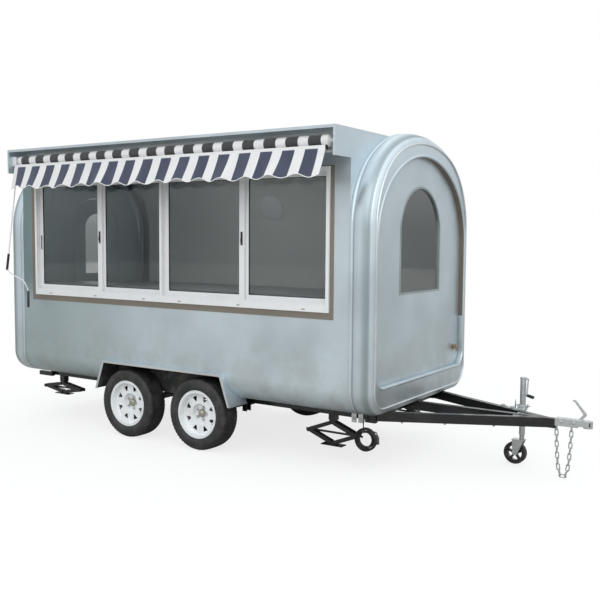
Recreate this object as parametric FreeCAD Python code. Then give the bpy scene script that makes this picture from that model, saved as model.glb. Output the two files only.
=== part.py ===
"""Concession trailer with a round-top cabin on a tandem-axle chassis.

Millimetres. +X points at the tow coupling, +Y at the blank side, +Z up. While the pieces are made, the
front axle is at x 0, the cabin's mid plane at y 0 and the ground at z 0. At the end every piece is moved
so that the whole trailer's bounding box is centred on x 0 and y 0.
"""
import FreeCAD, Part
import math
import os

V = FreeCAD.Vector
Y_AXIS = V(0, 1, 0)
Z_AXIS = V(0, 0, 1)
SEAT = 0.3           # gap left between curved pieces that touch
NEAR = -1            # the service side, with the window and the awning
FAR = 1

# Cabin shell
HALF_WIDTH = 921.0
CABIN_REAR = -2281.0
CABIN_FRONT = 1500.0
CABIN_BOTTOM = 475.0
ROOF_TOP = 2715.0
SPRING_Z = ROOF_TOP - 790.0  # height where the walls start to curve into the roof
SHOULDER_RADIUS = HALF_WIDTH - 201.0
SILL_RADIUS = 200.0          # rounding between wall and floor
WALL = 35.0                  # sandwich panel, skin to skin
FLOOR_THICK = 45.0

# End caps: a moulded ring with a panel set into it. Each cap section is a place along the cap, then how
# far the sides, the roof and the bottom are moved in there.
CAP_DEPTH = 200.0
CAP_SECTIONS = ((0.0, 0.0, 0.0, 0.0), (12.0, -10.0, -8.0, 0.0), (70.0, -10.0, -4.0, 0.0),
                (120.0, -9.0, 6.0, 0.0), (155.0, -3.0, 20.0, 4.0), (180.0, 11.0, 38.0, 16.0),
                (194.0, 28.0, 58.0, 34.0), (200.0, 44.0, 76.0, 50.0))
CAP_RECESS = 44.0            # how far the end panel is set in
END_PANEL = 35.0
RECESS_HALF = HALF_WIDTH - 76.0
RECESS_TOP = ROOF_TOP - 193.0
RECESS_SPRING = SPRING_Z - 125.0
RECESS_SHOULDER = SHOULDER_RADIUS - 60.0
RECESS_BOTTOM = CABIN_BOTTOM + 231.0
RECESS_CORNER = 110.0
BEAD_WIDTH = 20.0            # the raised line round the recess
BEAD_HEIGHT = 9.0

# Front window, an arch over straight jambs
FRONT_GLASS_HALF = 392.0
FRONT_GLASS_SILL = 1398.0
FRONT_GLASS_TOP = RECESS_TOP - 234.0
FRONT_GLASS_SPRING = FRONT_GLASS_TOP - 338.0
SEAL_WIDTH = 18.0
GLASS = 5.0

# Rear door
DOOR_CENTRE_Y = 166.0
DOOR_HALF = 324.0
DOOR_BOTTOM = RECESS_BOTTOM + 24.0
DOOR_TOP = RECESS_TOP - 251.0
DOOR_SPRING = DOOR_TOP - 261.0
DOOR_THICK = 35.0
DOOR_GAP = 6.0
DOOR_GLASS_HALF = 162.0
DOOR_GLASS_SILL = 1445.0
DOOR_GLASS_TOP = DOOR_TOP - 168.0
DOOR_GLASS_SPRING = DOOR_GLASS_TOP - 143.0
HINGE_HALF = 14.0            # half the height of a hinge's middle knuckle
HINGE_OUT = 9.0              # hinge axis, out from the panel
HINGE_STRAP = 60.0
HANDLE_Z = DOOR_BOTTOM + 620.0
HANDLE_IN = 60.0             # handle's axis, in from the door's edge
HANDLE_REACH = 110.0
HANDLE_OUT = 48.0

# Awning box over the service window
AWNING_REAR = -2205.0
AWNING_FRONT = CABIN_FRONT
AWNING_TOP = ROOF_TOP - 34.0
AWNING_BOTTOM = AWNING_TOP - 223.0
AWNING_OVERHANG = 234.0
AWNING_SHEET = 18.0
AWNING_END = 20.0
AWNING_GEAR = 56.0
ROLLER_RADIUS = 45.0         # with the cloth rolled up on it
ROLLER_Y = -HALF_WIDTH - 169.0
ROLLER_Z = AWNING_TOP - 109.0
FRONT_BAR_REAR = -2088.0
FRONT_BAR_FRONT = 1429.0
FRONT_BAR_Z = AWNING_BOTTOM + 44.0
FRONT_BAR_HEIGHT = 30.0
FRONT_BAR_DEPTH = 26.0
VALANCE_DROP = 205.0
CLOTH = 4.0
CRANK_ROD_RADIUS = 6.0
CRANK_KNEE_RADIUS = 7.0
CRANK_GRIP_RADIUS = 13.0

# Service window
WINDOW_REAR = -2085.0
WINDOW_FRONT = 1324.0
WINDOW_BOTTOM = 1276.0
WINDOW_TOP = AWNING_BOTTOM - 58.0
FRAME_BAR = 28.0
FRAME_SILL = 50.0
FRAME_PROUD = 20.0
FRAME_DEPTH = 100.0
SASH_STILE = 40.0
SASH_SET_IN = 46.0           # from the frame's face to the outer track
SASH_MEETING_STILE = 54.0
SASH_RAIL = 52.0
SASH_DEPTH = 20.0
SASH_TRACK_GAP = 2.0
MULLION_X = (WINDOW_REAR + WINDOW_FRONT) / 2 - 30.0
SASH_OVERLAP = 27.0
TRIM_REAR = 62.0
TRIM_FRONT = 35.0
TRIM_BELOW = 55.0
TRIM_ABOVE = 8.0
TRIM_THICK = 3.0

# Wheels
TYRE_RADIUS = 317.0
TYRE_WIDTH = 210.0
TYRE_FACE_Y = HALF_WIDTH + 34.0  # outer side of the tyres, from the mid plane
RIM_RADIUS = 211.0
RIM_WELL_RADIUS = 178.0
RIM_WIDTH = 182.0
RIM_SHEET = 9.0
RIM_DISC_IN = 78.0           # disc's centre, in from the rim's edge
RIM_DISH_IN = 44.0           # disc's highest ring, in from the rim's edge
RIM_FOOT_IN = 56.0           # disc's outer edge, in from the rim's edge
RIM_HOLES = 8
HOLE_RADII = (114.0, 158.0)
HOLE_HALF_WIDTHS = (7.0, 27.0)
NUT_SEAT_RADIUS = 76.0
AXLE_SPACING = 838.0
HUB_RADIUS = 32.0
HUB_RECESS = 76.0            # the grease cap ends this far inside the tyre's outer side
DRUM_RADIUS = 105.0
STUB_RADIUS = 18.0
STUB_PLAY = 0.05

# Chassis
RAIL_Y = HALF_WIDTH - 361.0
RAIL_WIDTH = 50.0
RAIL_HEIGHT = 75.0
RAIL_WALL = 4.0
CHASSIS_REAR = -2300.0
CHASSIS_FRONT = 1560.0
CROSS_STATIONS = (-2300.0, -1500.0, -419.0, 660.0, 1510.0)
CROSS_HEIGHT = 60.0
CENTRE_RAIL_WIDTH = 50.0
TONGUE_END = 2825.0
HITCH_APEX = TONGUE_END - 13.0  # where the outer sides of the drawbar rails would meet
HITCH_SLOPE = 0.486          # how far each drawbar rail closes in for its run forward
DRAWBAR_REAR = CHASSIS_FRONT
AXLE_TUBE = 50.0
SPRING_Y = HALF_WIDTH - 253.0
SPRING_WIDTH = 50.0
LEAF_THICK = 8.0
LEAF_COUNT = 4
SPRING_HALF = 330.0
HANGER_PLATE = 5.0
HANGER_TOP = 8.0

# Mudguards
GUARD_TOP = 700.0
GUARD_TOP_HALF = 712.0
GUARD_FOOT_HALF = 802.0
GUARD_FOOT_Z = 424.0
GUARD_SHEET = 4.0
GUARD_OUT = HALF_WIDTH + 51.0
GUARD_IN = HALF_WIDTH - 200.0

# Stabiliser jacks
JACK_Y = RAIL_Y
JACK_FRONT_X = 1157.0
JACK_REAR_X = -2128.0
JACK_FRONT_SPAN = 231.0
JACK_REAR_SPAN = 262.0
JACK_ARM_WIDTH = 32.0
JACK_DEPTH = 60.0
JACK_SCREW_RADIUS = 9.0
JACK_FOOT = 200.0
JACK_FRONT_TOP = 344.0
JACK_REAR_TOP = 330.0
JACK_FRONT_DROP = 196.0
JACK_REAR_DROP = 112.0
JACK_END = 14.0              # arms' pins, in from the channels' ends
JACK_PIN_RADIUS = 17.0

# Coupling, jockey wheel and chain
COUPLING_Z = 438.0
COUPLING_HEIGHT = 45.0
COUPLING_LENGTH = 275.0
COUPLING_WIDTH = 70.0
BALL_RADIUS = 25.4
LEVER_WIDTH = 18.0
JOCKEY_X = TONGUE_END - 347.0
JOCKEY_Y = HITCH_SLOPE * (HITCH_APEX - JOCKEY_X) + 95.7
JOCKEY_REACH = 32.0
JOCKEY_OUTER = 24.0
JOCKEY_INNER = 20.0
JOCKEY_TOP = 712.0
JOCKEY_TRAIL = 52.0
JOCKEY_WHEEL_RADIUS = 92.0
JOCKEY_WHEEL_WIDTH = 44.0
JOCKEY_PLAY = 8.0
JOCKEY_SPOKES = 5
JOCKEY_SHEET = 5.0
JOCKEY_AXLE_RADIUS = 8.0
JOCKEY_RIM_RADIUS = JOCKEY_WHEEL_RADIUS - 22.0
JOCKEY_SWIVEL_Z = 2 * JOCKEY_WHEEL_RADIUS + 22.0
CHAIN_PLATE = 170.0
CHAIN_X = TONGUE_END + 6.0
CHAIN_SPAN = 114.0
CHAIN_WIRE = 4.5
CHAIN_INNER = 45.0
CHAIN_LINK_WIDTH = 32.0
CHAIN_SIDE_LINKS = 8         # between the bottom link and each eye
CHAIN_EYE_DROP = 26.0        # eyes' centres under the coupling's lower edge

# Vent, lamps and tap
VENT_X = -459.0
VENT_Z = ROOF_TOP - 534.0
VENT_RADIUS = 135.0
VENT_OUT = 40.0
VENT_IN = 20.0
LAMP_Y = RECESS_HALF - 145.0
LAMP_Z = 760.0
LAMP_WIDTH = 110.0
LAMP_HEIGHT = 170.0
TAP_Y = RECESS_HALF - 116.0
TAP_Z = 862.0

# Interior
WORKTOP_Z = 1395.0
WORKTOP_SET_IN = 48.0
WORKTOP_DEPTH = 400.0
WORKTOP_THICK = 30.0
FAR_COUNTER_Z = 1330.0
FAR_COUNTER_DEPTH = 500.0

# Cable kept at the front corner
CABLE_RADIUS = 4.5
CABLE_SET_BACK = 14.0
COIL_X = CABIN_FRONT + 14.0
COIL_Y = -HALF_WIDTH + 263.0
COIL_Z = 256.0
COIL_RADIUS = 97.0
COIL_HOLE = 53.0
COIL_WIDTH = 56.0
PLUG_RADIUS = 21.0

PARTS = {}


def keep(name, *shapes):
    """Adds solids to the named sub-part."""
    solids = PARTS.setdefault(name, [])
    for shape in shapes:
        solids.extend(shape.Solids)


def box(x0, x1, y0, y1, z0, z1):
    """Block between two corners, given in any order."""
    low = V(min(x0, x1), min(y0, y1), min(z0, z1))
    return Part.makeBox(abs(x1 - x0), abs(y1 - y0), abs(z1 - z0), low)


def rod(start, end, radius):
    """Round bar between two points."""
    along = end - start
    return Part.makeCylinder(radius, along.Length, start, along)


def pipe(start, end, radius, bore):
    """Round tube between two points."""
    along = end - start
    return rod(start, end, radius).cut(rod(start - along * 0.01, end + along * 0.01, bore))


def prism(points, along):
    """Flat polygon swept along a vector."""
    wire = Part.makePolygon(list(points) + [points[0]])
    return Part.Face(wire).extrude(along)


def fuse(shapes):
    """One solid from pieces that overlap or meet face to face."""
    whole = shapes[0].multiFuse(shapes[1:]) if len(shapes) > 1 else shapes[0]
    return whole.removeSplitter()


def crown_radius(half, rise, shoulder):
    """Radius of an arch's middle, tangent to both shoulders."""
    return (half ** 2 + rise ** 2 - 2 * half * shoulder) / (2 * (rise - shoulder))


def on_circle(x, centre_y, centre_z, radius, angle):
    """Point on a circle in a cross-plane; the angle is from straight up towards +Y."""
    return V(x, centre_y + radius * math.sin(angle), centre_z + radius * math.cos(angle))


def arch_outline(x, half, bottom, top, spring, shoulder, corner):
    """Closed outline in a cross-plane: flat bottom, round corners, walls and a three-centred arch."""
    corner_z = bottom + corner
    corner_y = half - corner
    shoulder_y = half - shoulder
    crown_r = crown_radius(half, top - spring, shoulder)
    crown_z = top - crown_r
    turn = math.atan2(shoulder_y, spring - crown_z)
    quarter = math.pi / 2
    right_join = on_circle(x, 0, crown_z, crown_r, turn)
    left_join = on_circle(x, 0, crown_z, crown_r, -turn)
    edges = [
        Part.makeLine(V(x, -corner_y, bottom), V(x, corner_y, bottom)),
        Part.Arc(V(x, corner_y, bottom), on_circle(x, corner_y, corner_z, corner, 1.5 * quarter),
                 V(x, half, corner_z)).toShape(),
        Part.makeLine(V(x, half, corner_z), V(x, half, spring)),
        Part.Arc(V(x, half, spring), on_circle(x, shoulder_y, spring, shoulder, (quarter + turn) / 2),
                 right_join).toShape(),
        Part.Arc(right_join, on_circle(x, 0, crown_z, crown_r, 0), left_join).toShape(),
        Part.Arc(left_join, on_circle(x, -shoulder_y, spring, shoulder, -(quarter + turn) / 2),
                 V(x, -half, spring)).toShape(),
        Part.makeLine(V(x, -half, spring), V(x, -half, corner_z)),
        Part.Arc(V(x, -half, corner_z), on_circle(x, -corner_y, corner_z, corner, -1.5 * quarter),
                 V(x, -corner_y, bottom)).toShape(),
    ]
    return Part.Wire(edges)


def cabin_outline(x, side, roof, below):
    """The cabin's outline with its sides, roof and bottom moved in."""
    return arch_outline(x, HALF_WIDTH - side, CABIN_BOTTOM + below, ROOF_TOP - roof, SPRING_Z,
                        SHOULDER_RADIUS - side, SILL_RADIUS - side)


def recess_slab(x0, x1, inset):
    """The end panel's outline, moved in by inset, swept from one station to another."""
    wire = arch_outline(x0, RECESS_HALF - inset, RECESS_BOTTOM + inset, RECESS_TOP - inset, RECESS_SPRING,
                        RECESS_SHOULDER - inset, RECESS_CORNER - inset)
    return Part.Face(wire).extrude(V(x1 - x0, 0, 0))


def cabin_slab(x0, x1, inset):
    """The cabin's outline, moved in by inset, swept from one station to another."""
    return Part.Face(cabin_outline(x0, inset, inset, inset)).extrude(V(x1 - x0, 0, 0))


def arch_slab(x0, x1, centre_y, half, bottom, spring, top):
    """Arched opening: straight jambs and one arc over them, swept along X."""
    left = V(x0, centre_y - half, spring)
    right = V(x0, centre_y + half, spring)
    edges = [
        Part.makeLine(V(x0, centre_y - half, bottom), V(x0, centre_y + half, bottom)),
        Part.makeLine(V(x0, centre_y + half, bottom), right),
        Part.Arc(right, V(x0, centre_y, top), left).toShape(),
        Part.makeLine(left, V(x0, centre_y - half, bottom)),
    ]
    return Part.Face(Part.Wire(edges)).extrude(V(x1 - x0, 0, 0))


def guard_outline(y, inset):
    """Mudguard outline in the XZ plane, as points."""
    middle = -AXLE_SPACING / 2
    top = GUARD_TOP - inset
    return [V(middle - GUARD_FOOT_HALF + inset, y, GUARD_FOOT_Z), V(middle - GUARD_TOP_HALF + inset, y, top),
            V(middle + GUARD_TOP_HALF - inset, y, top), V(middle + GUARD_FOOT_HALF - inset, y, GUARD_FOOT_Z)]


def guard_pocket(side):
    """Space that each mudguard takes out of the cabin's lower wall."""
    points = guard_outline(side * GUARD_IN, 0)
    return prism(points, V(0, side * (GUARD_OUT - GUARD_IN), 0))


def make_cabin_shell():
    """Floor, walls and roof, split where the real panels meet."""
    ring = cabin_slab(CABIN_REAR, CABIN_FRONT, 0).cut(cabin_slab(CABIN_REAR - 1, CABIN_FRONT + 1, WALL))
    sill_y = HALF_WIDTH - SILL_RADIUS
    roof_edge_y = -dormer_roof_y()
    big = 3000.0
    rear, front = CABIN_REAR, CABIN_FRONT
    floor = box(rear, front, -sill_y, sill_y, CABIN_BOTTOM, CABIN_BOTTOM + FLOOR_THICK)
    keep("cabin_floor", floor)
    far = ring.common(box(rear, front, sill_y, big, 0, SPRING_Z))
    far = far.fuse(ring.common(box(rear, front, 0, big, SPRING_Z / 2, SPRING_Z))).removeSplitter()
    keep("far_wall", far.cut(guard_pocket(FAR)))
    roof = ring.common(box(rear, front, roof_edge_y, big, SPRING_Z, big)).cut(vent_body(SEAT))
    keep("roof", roof)
    lower = ring.common(box(rear, front, -sill_y, -big, 0, SPRING_Z))
    upper = box(rear, front, -HALF_WIDTH, -HALF_WIDTH + WALL, SPRING_Z, AWNING_TOP - AWNING_SHEET)
    hole = box(WINDOW_REAR, WINDOW_FRONT, -HALF_WIDTH - 1, -HALF_WIDTH + WALL + 1, WINDOW_BOTTOM, WINDOW_TOP)
    keep("service_wall", fuse([lower, upper]).cut(hole).cut(guard_pocket(NEAR)))


def dormer_roof_y():
    """Half-width at which the roof's outside passes the awning box's top."""
    crown_r = crown_radius(HALF_WIDTH, ROOF_TOP - SPRING_Z, SHOULDER_RADIUS)
    return math.sqrt(crown_r ** 2 - (AWNING_TOP - ROOF_TOP + crown_r) ** 2)


def make_awning_box():
    """Top sheet and two end plates that carry the awning and close the dormer beside the roof."""
    lip_y = -HALF_WIDTH - AWNING_OVERHANG
    inner_y = -dormer_roof_y()
    top = box(AWNING_REAR, AWNING_FRONT, lip_y, inner_y, AWNING_TOP - AWNING_SHEET, AWNING_TOP)
    plates = [top]
    for x0 in (AWNING_REAR, AWNING_FRONT - AWNING_END):
        plates.append(box(x0, x0 + AWNING_END, lip_y, -HALF_WIDTH, AWNING_BOTTOM, AWNING_TOP))
    keep("awning_box", fuse(plates))
    gable_z = AWNING_TOP - AWNING_SHEET
    for x0 in (CABIN_REAR, CABIN_FRONT - AWNING_END):
        gable = box(x0, x0 + AWNING_END, -HALF_WIDTH + WALL, inner_y, SPRING_Z, gable_z)
        keep("dormer_ends", gable.cut(cabin_slab(x0 - 1, x0 + AWNING_END + 1, WALL)))
    back = box(CABIN_REAR, AWNING_REAR, -HALF_WIDTH, inner_y, gable_z, AWNING_TOP)
    keep("dormer_ends", back)


def cap_shell(x_seam, direction):
    """Moulded ring at one end of the cabin, hollow, with its recess for the end panel."""
    x_face = x_seam + direction * CAP_DEPTH
    wires = [cabin_outline(x_seam + direction * along, side, roof, below)
             for along, side, roof, below in CAP_SECTIONS]
    above_floor = box(x_seam - 2 * CAP_DEPTH, x_seam + 2 * CAP_DEPTH, -2 * HALF_WIDTH, 2 * HALF_WIDTH,
                      CABIN_BOTTOM, 2 * ROOF_TOP)
    outer = Part.makeLoft(wires, True, False).common(above_floor)
    bead = recess_slab(x_face - direction * 20, x_face + direction * BEAD_HEIGHT, -BEAD_WIDTH)
    recess = recess_slab(x_face - direction * (CAP_RECESS + END_PANEL), x_face + direction * 20, 0)
    hollow = cabin_slab(x_seam - direction * 1, x_face - direction * (CAP_RECESS + END_PANEL), WALL)
    return fuse([outer, bead]).cut(recess).cut(hollow)


def end_panel(x_seam, direction):
    """Flat panel set into the cap."""
    x_face = x_seam + direction * (CAP_DEPTH - CAP_RECESS)
    return recess_slab(x_face - direction * END_PANEL, x_face, 0)


def make_front_end():
    """Front cap, its panel and the arched window with its seal."""
    keep("front_cap", cap_shell(CABIN_FRONT, 1))
    x_face = CABIN_FRONT + CAP_DEPTH - CAP_RECESS
    x_in = x_face - END_PANEL
    hole = arch_slab(x_in - 1, x_face + 1, 0, FRONT_GLASS_HALF, FRONT_GLASS_SILL, FRONT_GLASS_SPRING,
                     FRONT_GLASS_TOP)
    keep("front_panel", end_panel(CABIN_FRONT, 1).cut(hole))
    glass_x = x_in + END_PANEL / 2
    outer = arch_slab(x_in, x_face + 4, 0, FRONT_GLASS_HALF - SEAT, FRONT_GLASS_SILL + SEAT,
                      FRONT_GLASS_SPRING, FRONT_GLASS_TOP - SEAT)
    inner = arch_slab(x_in - 1, x_face + 5, 0, FRONT_GLASS_HALF - SEAL_WIDTH, FRONT_GLASS_SILL + SEAL_WIDTH,
                      FRONT_GLASS_SPRING, FRONT_GLASS_TOP - SEAL_WIDTH)
    keep("front_window_seal", outer.cut(inner))
    keep("window_glass", arch_slab(glass_x, glass_x + GLASS, 0, FRONT_GLASS_HALF - SEAL_WIDTH - SEAT,
                                   FRONT_GLASS_SILL + SEAL_WIDTH + SEAT, FRONT_GLASS_SPRING,
                                   FRONT_GLASS_TOP - SEAL_WIDTH - SEAT))


def make_rear_end():
    """Rear cap, its panel, and the arched door with its window, hinges and handle."""
    keep("rear_cap", cap_shell(CABIN_REAR, -1))
    x_face = CABIN_REAR - CAP_DEPTH + CAP_RECESS
    x_in = x_face + END_PANEL
    opening = arch_slab(x_face - 1, x_in + 1, DOOR_CENTRE_Y, DOOR_HALF + DOOR_GAP, DOOR_BOTTOM - DOOR_GAP,
                        DOOR_SPRING, DOOR_TOP + DOOR_GAP)
    keep("rear_panel", end_panel(CABIN_REAR, -1).cut(opening))
    leaf = arch_slab(x_face, x_face + DOOR_THICK, DOOR_CENTRE_Y, DOOR_HALF, DOOR_BOTTOM, DOOR_SPRING,
                     DOOR_TOP)
    pane = (DOOR_CENTRE_Y, DOOR_GLASS_HALF, DOOR_GLASS_SILL, DOOR_GLASS_SPRING, DOOR_GLASS_TOP)
    hole = arch_slab(x_face - 1, x_face + DOOR_THICK + 1, *pane)
    keep("rear_door", leaf.cut(hole))
    glass_x = x_face + DOOR_THICK / 2
    keep("rear_door_glass", arch_slab(glass_x, glass_x + GLASS, DOOR_CENTRE_Y, DOOR_GLASS_HALF - SEAT,
                                      DOOR_GLASS_SILL + SEAT, DOOR_GLASS_SPRING, DOOR_GLASS_TOP - SEAT))
    hinge_y = DOOR_CENTRE_Y + DOOR_HALF + DOOR_GAP / 2
    axis_x = x_face - HINGE_OUT
    fixed = 2 * HINGE_HALF + 1
    for z in (DOOR_BOTTOM + 220, (DOOR_BOTTOM + DOOR_SPRING) / 2, DOOR_SPRING - 160):
        knuckle = rod(V(axis_x, hinge_y, z - HINGE_HALF), V(axis_x, hinge_y, z + HINGE_HALF), 7)
        strap = box(x_face - 4, x_face, hinge_y - HINGE_STRAP, hinge_y, z - HINGE_HALF, z + HINGE_HALF)
        keep("rear_door_fittings", fuse([knuckle, strap]))
        for z_end in (z - HINGE_HALF - fixed - SEAT, z + HINGE_HALF + SEAT):
            knuckle = rod(V(axis_x, hinge_y, z_end), V(axis_x, hinge_y, z_end + fixed), 7)
            strap = box(x_face - 4, x_face, hinge_y + 4, hinge_y + HINGE_STRAP, z_end, z_end + fixed)
            arm = box(axis_x, x_face - 3, hinge_y, hinge_y + 8, z_end, z_end + fixed)
            keep("door_hinges_frame", fuse([knuckle, arm, strap]))
    handle_y = DOOR_CENTRE_Y - DOOR_HALF + HANDLE_IN
    plate = box(x_face - 6, x_face, handle_y - 22, handle_y + 22, HANDLE_Z - 110, HANDLE_Z + 50)
    spindle = rod(V(x_face - 6, handle_y, HANDLE_Z), V(x_face - HANDLE_OUT, handle_y, HANDLE_Z), 9)
    lever = box(x_face - HANDLE_OUT - 6, x_face - HANDLE_OUT + 6, handle_y - 10, handle_y + HANDLE_REACH,
                HANDLE_Z - 10, HANDLE_Z + 10)
    keep("rear_door_fittings", fuse([plate, spindle, lever]))


def bar_frame(x0, x1, y0, y1, z0, z1, left, right, bottom, top):
    """Rectangular frame of four bars as one solid."""
    outer = box(x0, x1, y0, y1, z0, z1)
    return outer.cut(box(x0 + left, x1 - right, y0 - 1, y1 + 1, z0 + bottom, z1 - top))


def sash_layout():
    """Each sash: rear edge, front edge, rear stile, front stile, track (0 outside, 1 inside)."""
    rear = WINDOW_REAR + FRAME_BAR
    front = WINDOW_FRONT - FRAME_BAR
    half_bar = FRAME_BAR / 2
    first_meet = (rear + MULLION_X) / 2 + 15
    second_meet = (MULLION_X + front) / 2 + 10
    wide = SASH_MEETING_STILE
    return [(rear, first_meet + wide / 2, SASH_STILE, wide, 0),
            (first_meet - wide / 2 + SASH_OVERLAP, MULLION_X - half_bar, wide, SASH_STILE, 1),
            (MULLION_X + half_bar, second_meet + wide / 2, SASH_STILE, wide, 0),
            (second_meet - wide / 2 + SASH_OVERLAP, front, wide, SASH_STILE, 1)]


def make_service_window():
    """Outer frame, four sliding sashes on two tracks, their glass and the trim round them."""
    y_out = -HALF_WIDTH - FRAME_PROUD
    y_in = y_out + FRAME_DEPTH
    rear, front = WINDOW_REAR, WINDOW_FRONT
    low, high = WINDOW_BOTTOM, WINDOW_TOP
    half_bar = FRAME_BAR / 2
    outer = box(rear, front, y_out, y_in, low, high)
    for x0, x1 in ((rear + FRAME_BAR, MULLION_X - half_bar), (MULLION_X + half_bar, front - FRAME_BAR)):
        outer = outer.cut(box(x0, x1, y_out - 1, y_in + 1, low + FRAME_SILL, high - FRAME_BAR))
    keep("window_frame", outer)
    for x0, x1, rear_stile, front_stile, track in sash_layout():
        y0 = y_out + SASH_SET_IN + track * (SASH_DEPTH + SASH_TRACK_GAP)
        z0, z1 = low + FRAME_SILL, high - FRAME_BAR
        keep("window_sashes", bar_frame(x0, x1, y0, y0 + SASH_DEPTH, z0, z1, rear_stile, front_stile,
                                        SASH_RAIL, SASH_STILE))
        keep("window_glass", box(x0 + rear_stile, x1 - front_stile, y0 + 7, y0 + 7 + GLASS,
                                 z0 + SASH_RAIL, z1 - SASH_STILE))
    trim = bar_frame(rear - TRIM_REAR, front + TRIM_FRONT, -HALF_WIDTH - TRIM_THICK, -HALF_WIDTH,
                     low - TRIM_BELOW, high + TRIM_ABOVE, TRIM_REAR, TRIM_FRONT, TRIM_BELOW, TRIM_ABOVE)
    keep("window_trim", trim)


def make_awning():
    """Rolled-in awning: roller, folded arms, front bar, the cloth with its valance, and the crank."""
    lip_y = -HALF_WIDTH - AWNING_OVERHANG
    low, high = FRONT_BAR_Z, FRONT_BAR_Z + FRONT_BAR_HEIGHT
    x0, x1 = FRONT_BAR_REAR, FRONT_BAR_FRONT
    gear_x = AWNING_REAR + AWNING_END
    keep("awning_roller", rod(V(gear_x + AWNING_GEAR + SEAT, ROLLER_Y, ROLLER_Z),
                              V(AWNING_FRONT - AWNING_END, ROLLER_Y, ROLLER_Z), ROLLER_RADIUS))
    bar_y0 = lip_y - FRONT_BAR_DEPTH / 2
    bar_y1 = bar_y0 + FRONT_BAR_DEPTH
    keep("awning_front_bar", box(x0, x1, bar_y0, bar_y1, low, high))
    drop = box(x0 + 4, x1 - 4, bar_y0 - CLOTH, bar_y0, high - VALANCE_DROP, high)
    over = box(x0 + 4, x1 - 4, bar_y0 - CLOTH, ROLLER_Y - ROLLER_RADIUS * 0.75, high, high + CLOTH)
    keep("awning_cloth", fuse([drop, over]))
    for end_x, sign in ((x0 + 40, 1), (x1 - 40, -1)):
        middle = (low + high) / 2
        shoulder = V(end_x, -HALF_WIDTH - 24, middle)
        elbow = V(end_x + sign * 900, -HALF_WIDTH - 60, middle)
        wrist = V(end_x + sign * 60, bar_y1 + 18, middle)
        upper = rod(shoulder, elbow, 14)
        fore = rod(elbow, wrist, 10)
        block = box(end_x - 30, end_x + 30, -HALF_WIDTH - 48, -HALF_WIDTH, low - 10, high + 30)
        tip = box(end_x + sign * 60 - 20, end_x + sign * 60 + 20, bar_y1, bar_y1 + 24, low, high - 8)
        joint = rod(elbow - V(0, 0, 16), elbow + V(0, 0, 16), 20)
        keep("awning_arms", fuse([block, upper, fore, tip, joint]))
    make_awning_crank(gear_x)


def make_awning_crank(gear_x):
    """Crank rod hanging from the roller's gear inside the box's rear end, with two dark grips."""
    y = ROLLER_Y
    gear = box(gear_x, gear_x + AWNING_GEAR, y - 26, y + 26, ROLLER_Z - 46, ROLLER_Z + 46)
    top = V(gear_x + AWNING_GEAR / 2, y - 10, ROLLER_Z - 40)
    path = [top, V(-2147, -1120, 2298), V(-2256, -1122, 1683), V(-2289, -1122, 1514), V(-2206, -1100, 1459),
            V(-2114, -1060, 1413), V(-2077, -1040, 1319), V(-2079, -1040, 1148)]
    grips = (2, 6)
    pieces = [gear]
    for index, (start, end) in enumerate(zip(path[:-1], path[1:])):
        radius = CRANK_GRIP_RADIUS if index in grips else CRANK_ROD_RADIUS
        pieces.append(rod(start, end, radius))
        if index not in (0, 2, 3, 6):
            pieces.append(Part.makeSphere(CRANK_KNEE_RADIUS, start))
    keep("awning_crank", fuse(pieces))


def make_chassis():
    """Main rails, cross members, drawbar and its plates."""
    top = CABIN_BOTTOM
    low = top - RAIL_HEIGHT
    for side in (NEAR, FAR):
        centre = side * RAIL_Y
        half = RAIL_WIDTH / 2
        outer = box(CHASSIS_REAR, CHASSIS_FRONT, centre - half, centre + half, low, top)
        inner = box(CHASSIS_REAR - 1, CHASSIS_FRONT + 1, centre - half + RAIL_WALL, centre + half - RAIL_WALL,
                    low + RAIL_WALL, top - RAIL_WALL)
        keep("chassis_rails", outer.cut(inner))
    inner_y = RAIL_Y - RAIL_WIDTH / 2
    for x0 in CROSS_STATIONS:
        keep("cross_members", box(x0, x0 + RAIL_WIDTH, -inner_y, inner_y, top - CROSS_HEIGHT, top))
    centre_half = CENTRE_RAIL_WIDTH / 2
    keep("drawbar_rails", box(DRAWBAR_REAR, TONGUE_END, -centre_half, centre_half, low, top))
    across = RAIL_WIDTH * math.hypot(1, HITCH_SLOPE)
    for side in (NEAR, FAR):
        y_rear = HITCH_SLOPE * (HITCH_APEX - DRAWBAR_REAR)
        y_join = centre_half + SEAT
        x_join = HITCH_APEX - y_join / HITCH_SLOPE
        points = [V(DRAWBAR_REAR, side * y_rear, low), V(x_join, side * y_join, low),
                  V(x_join - across / HITCH_SLOPE, side * y_join, low),
                  V(DRAWBAR_REAR, side * (y_rear - across), low)]
        keep("drawbar_rails", prism(points, V(0, 0, RAIL_HEIGHT)))


def rim_profile(offset):
    """Half-section of the wheel rim: outer flange, bead seat, well, bead seat and inner flange, as points
    of (distance along the axle, radius), pushed out from the axle by offset."""
    half = RIM_WIDTH / 2
    flange = RIM_RADIUS
    seat = RIM_RADIUS - 18
    well = RIM_WELL_RADIUS
    profile = [(-half, flange), (-half, seat), (-half + 42, seat - 4), (-half + 58, well), (half - 74, well),
               (half - 58, seat - 4), (half, seat), (half, flange)]
    return [(along, radius + offset) for along, radius in profile]


def revolved(profile, centre):
    """Closed profile of (along Y, radius) pairs turned round an axle through centre."""
    points = [V(centre.x, centre.y + along, centre.z + radius) for along, radius in profile]
    wire = Part.makePolygon(points + [points[0]])
    return Part.Face(wire).revolve(centre, Y_AXIS, 360)


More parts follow.
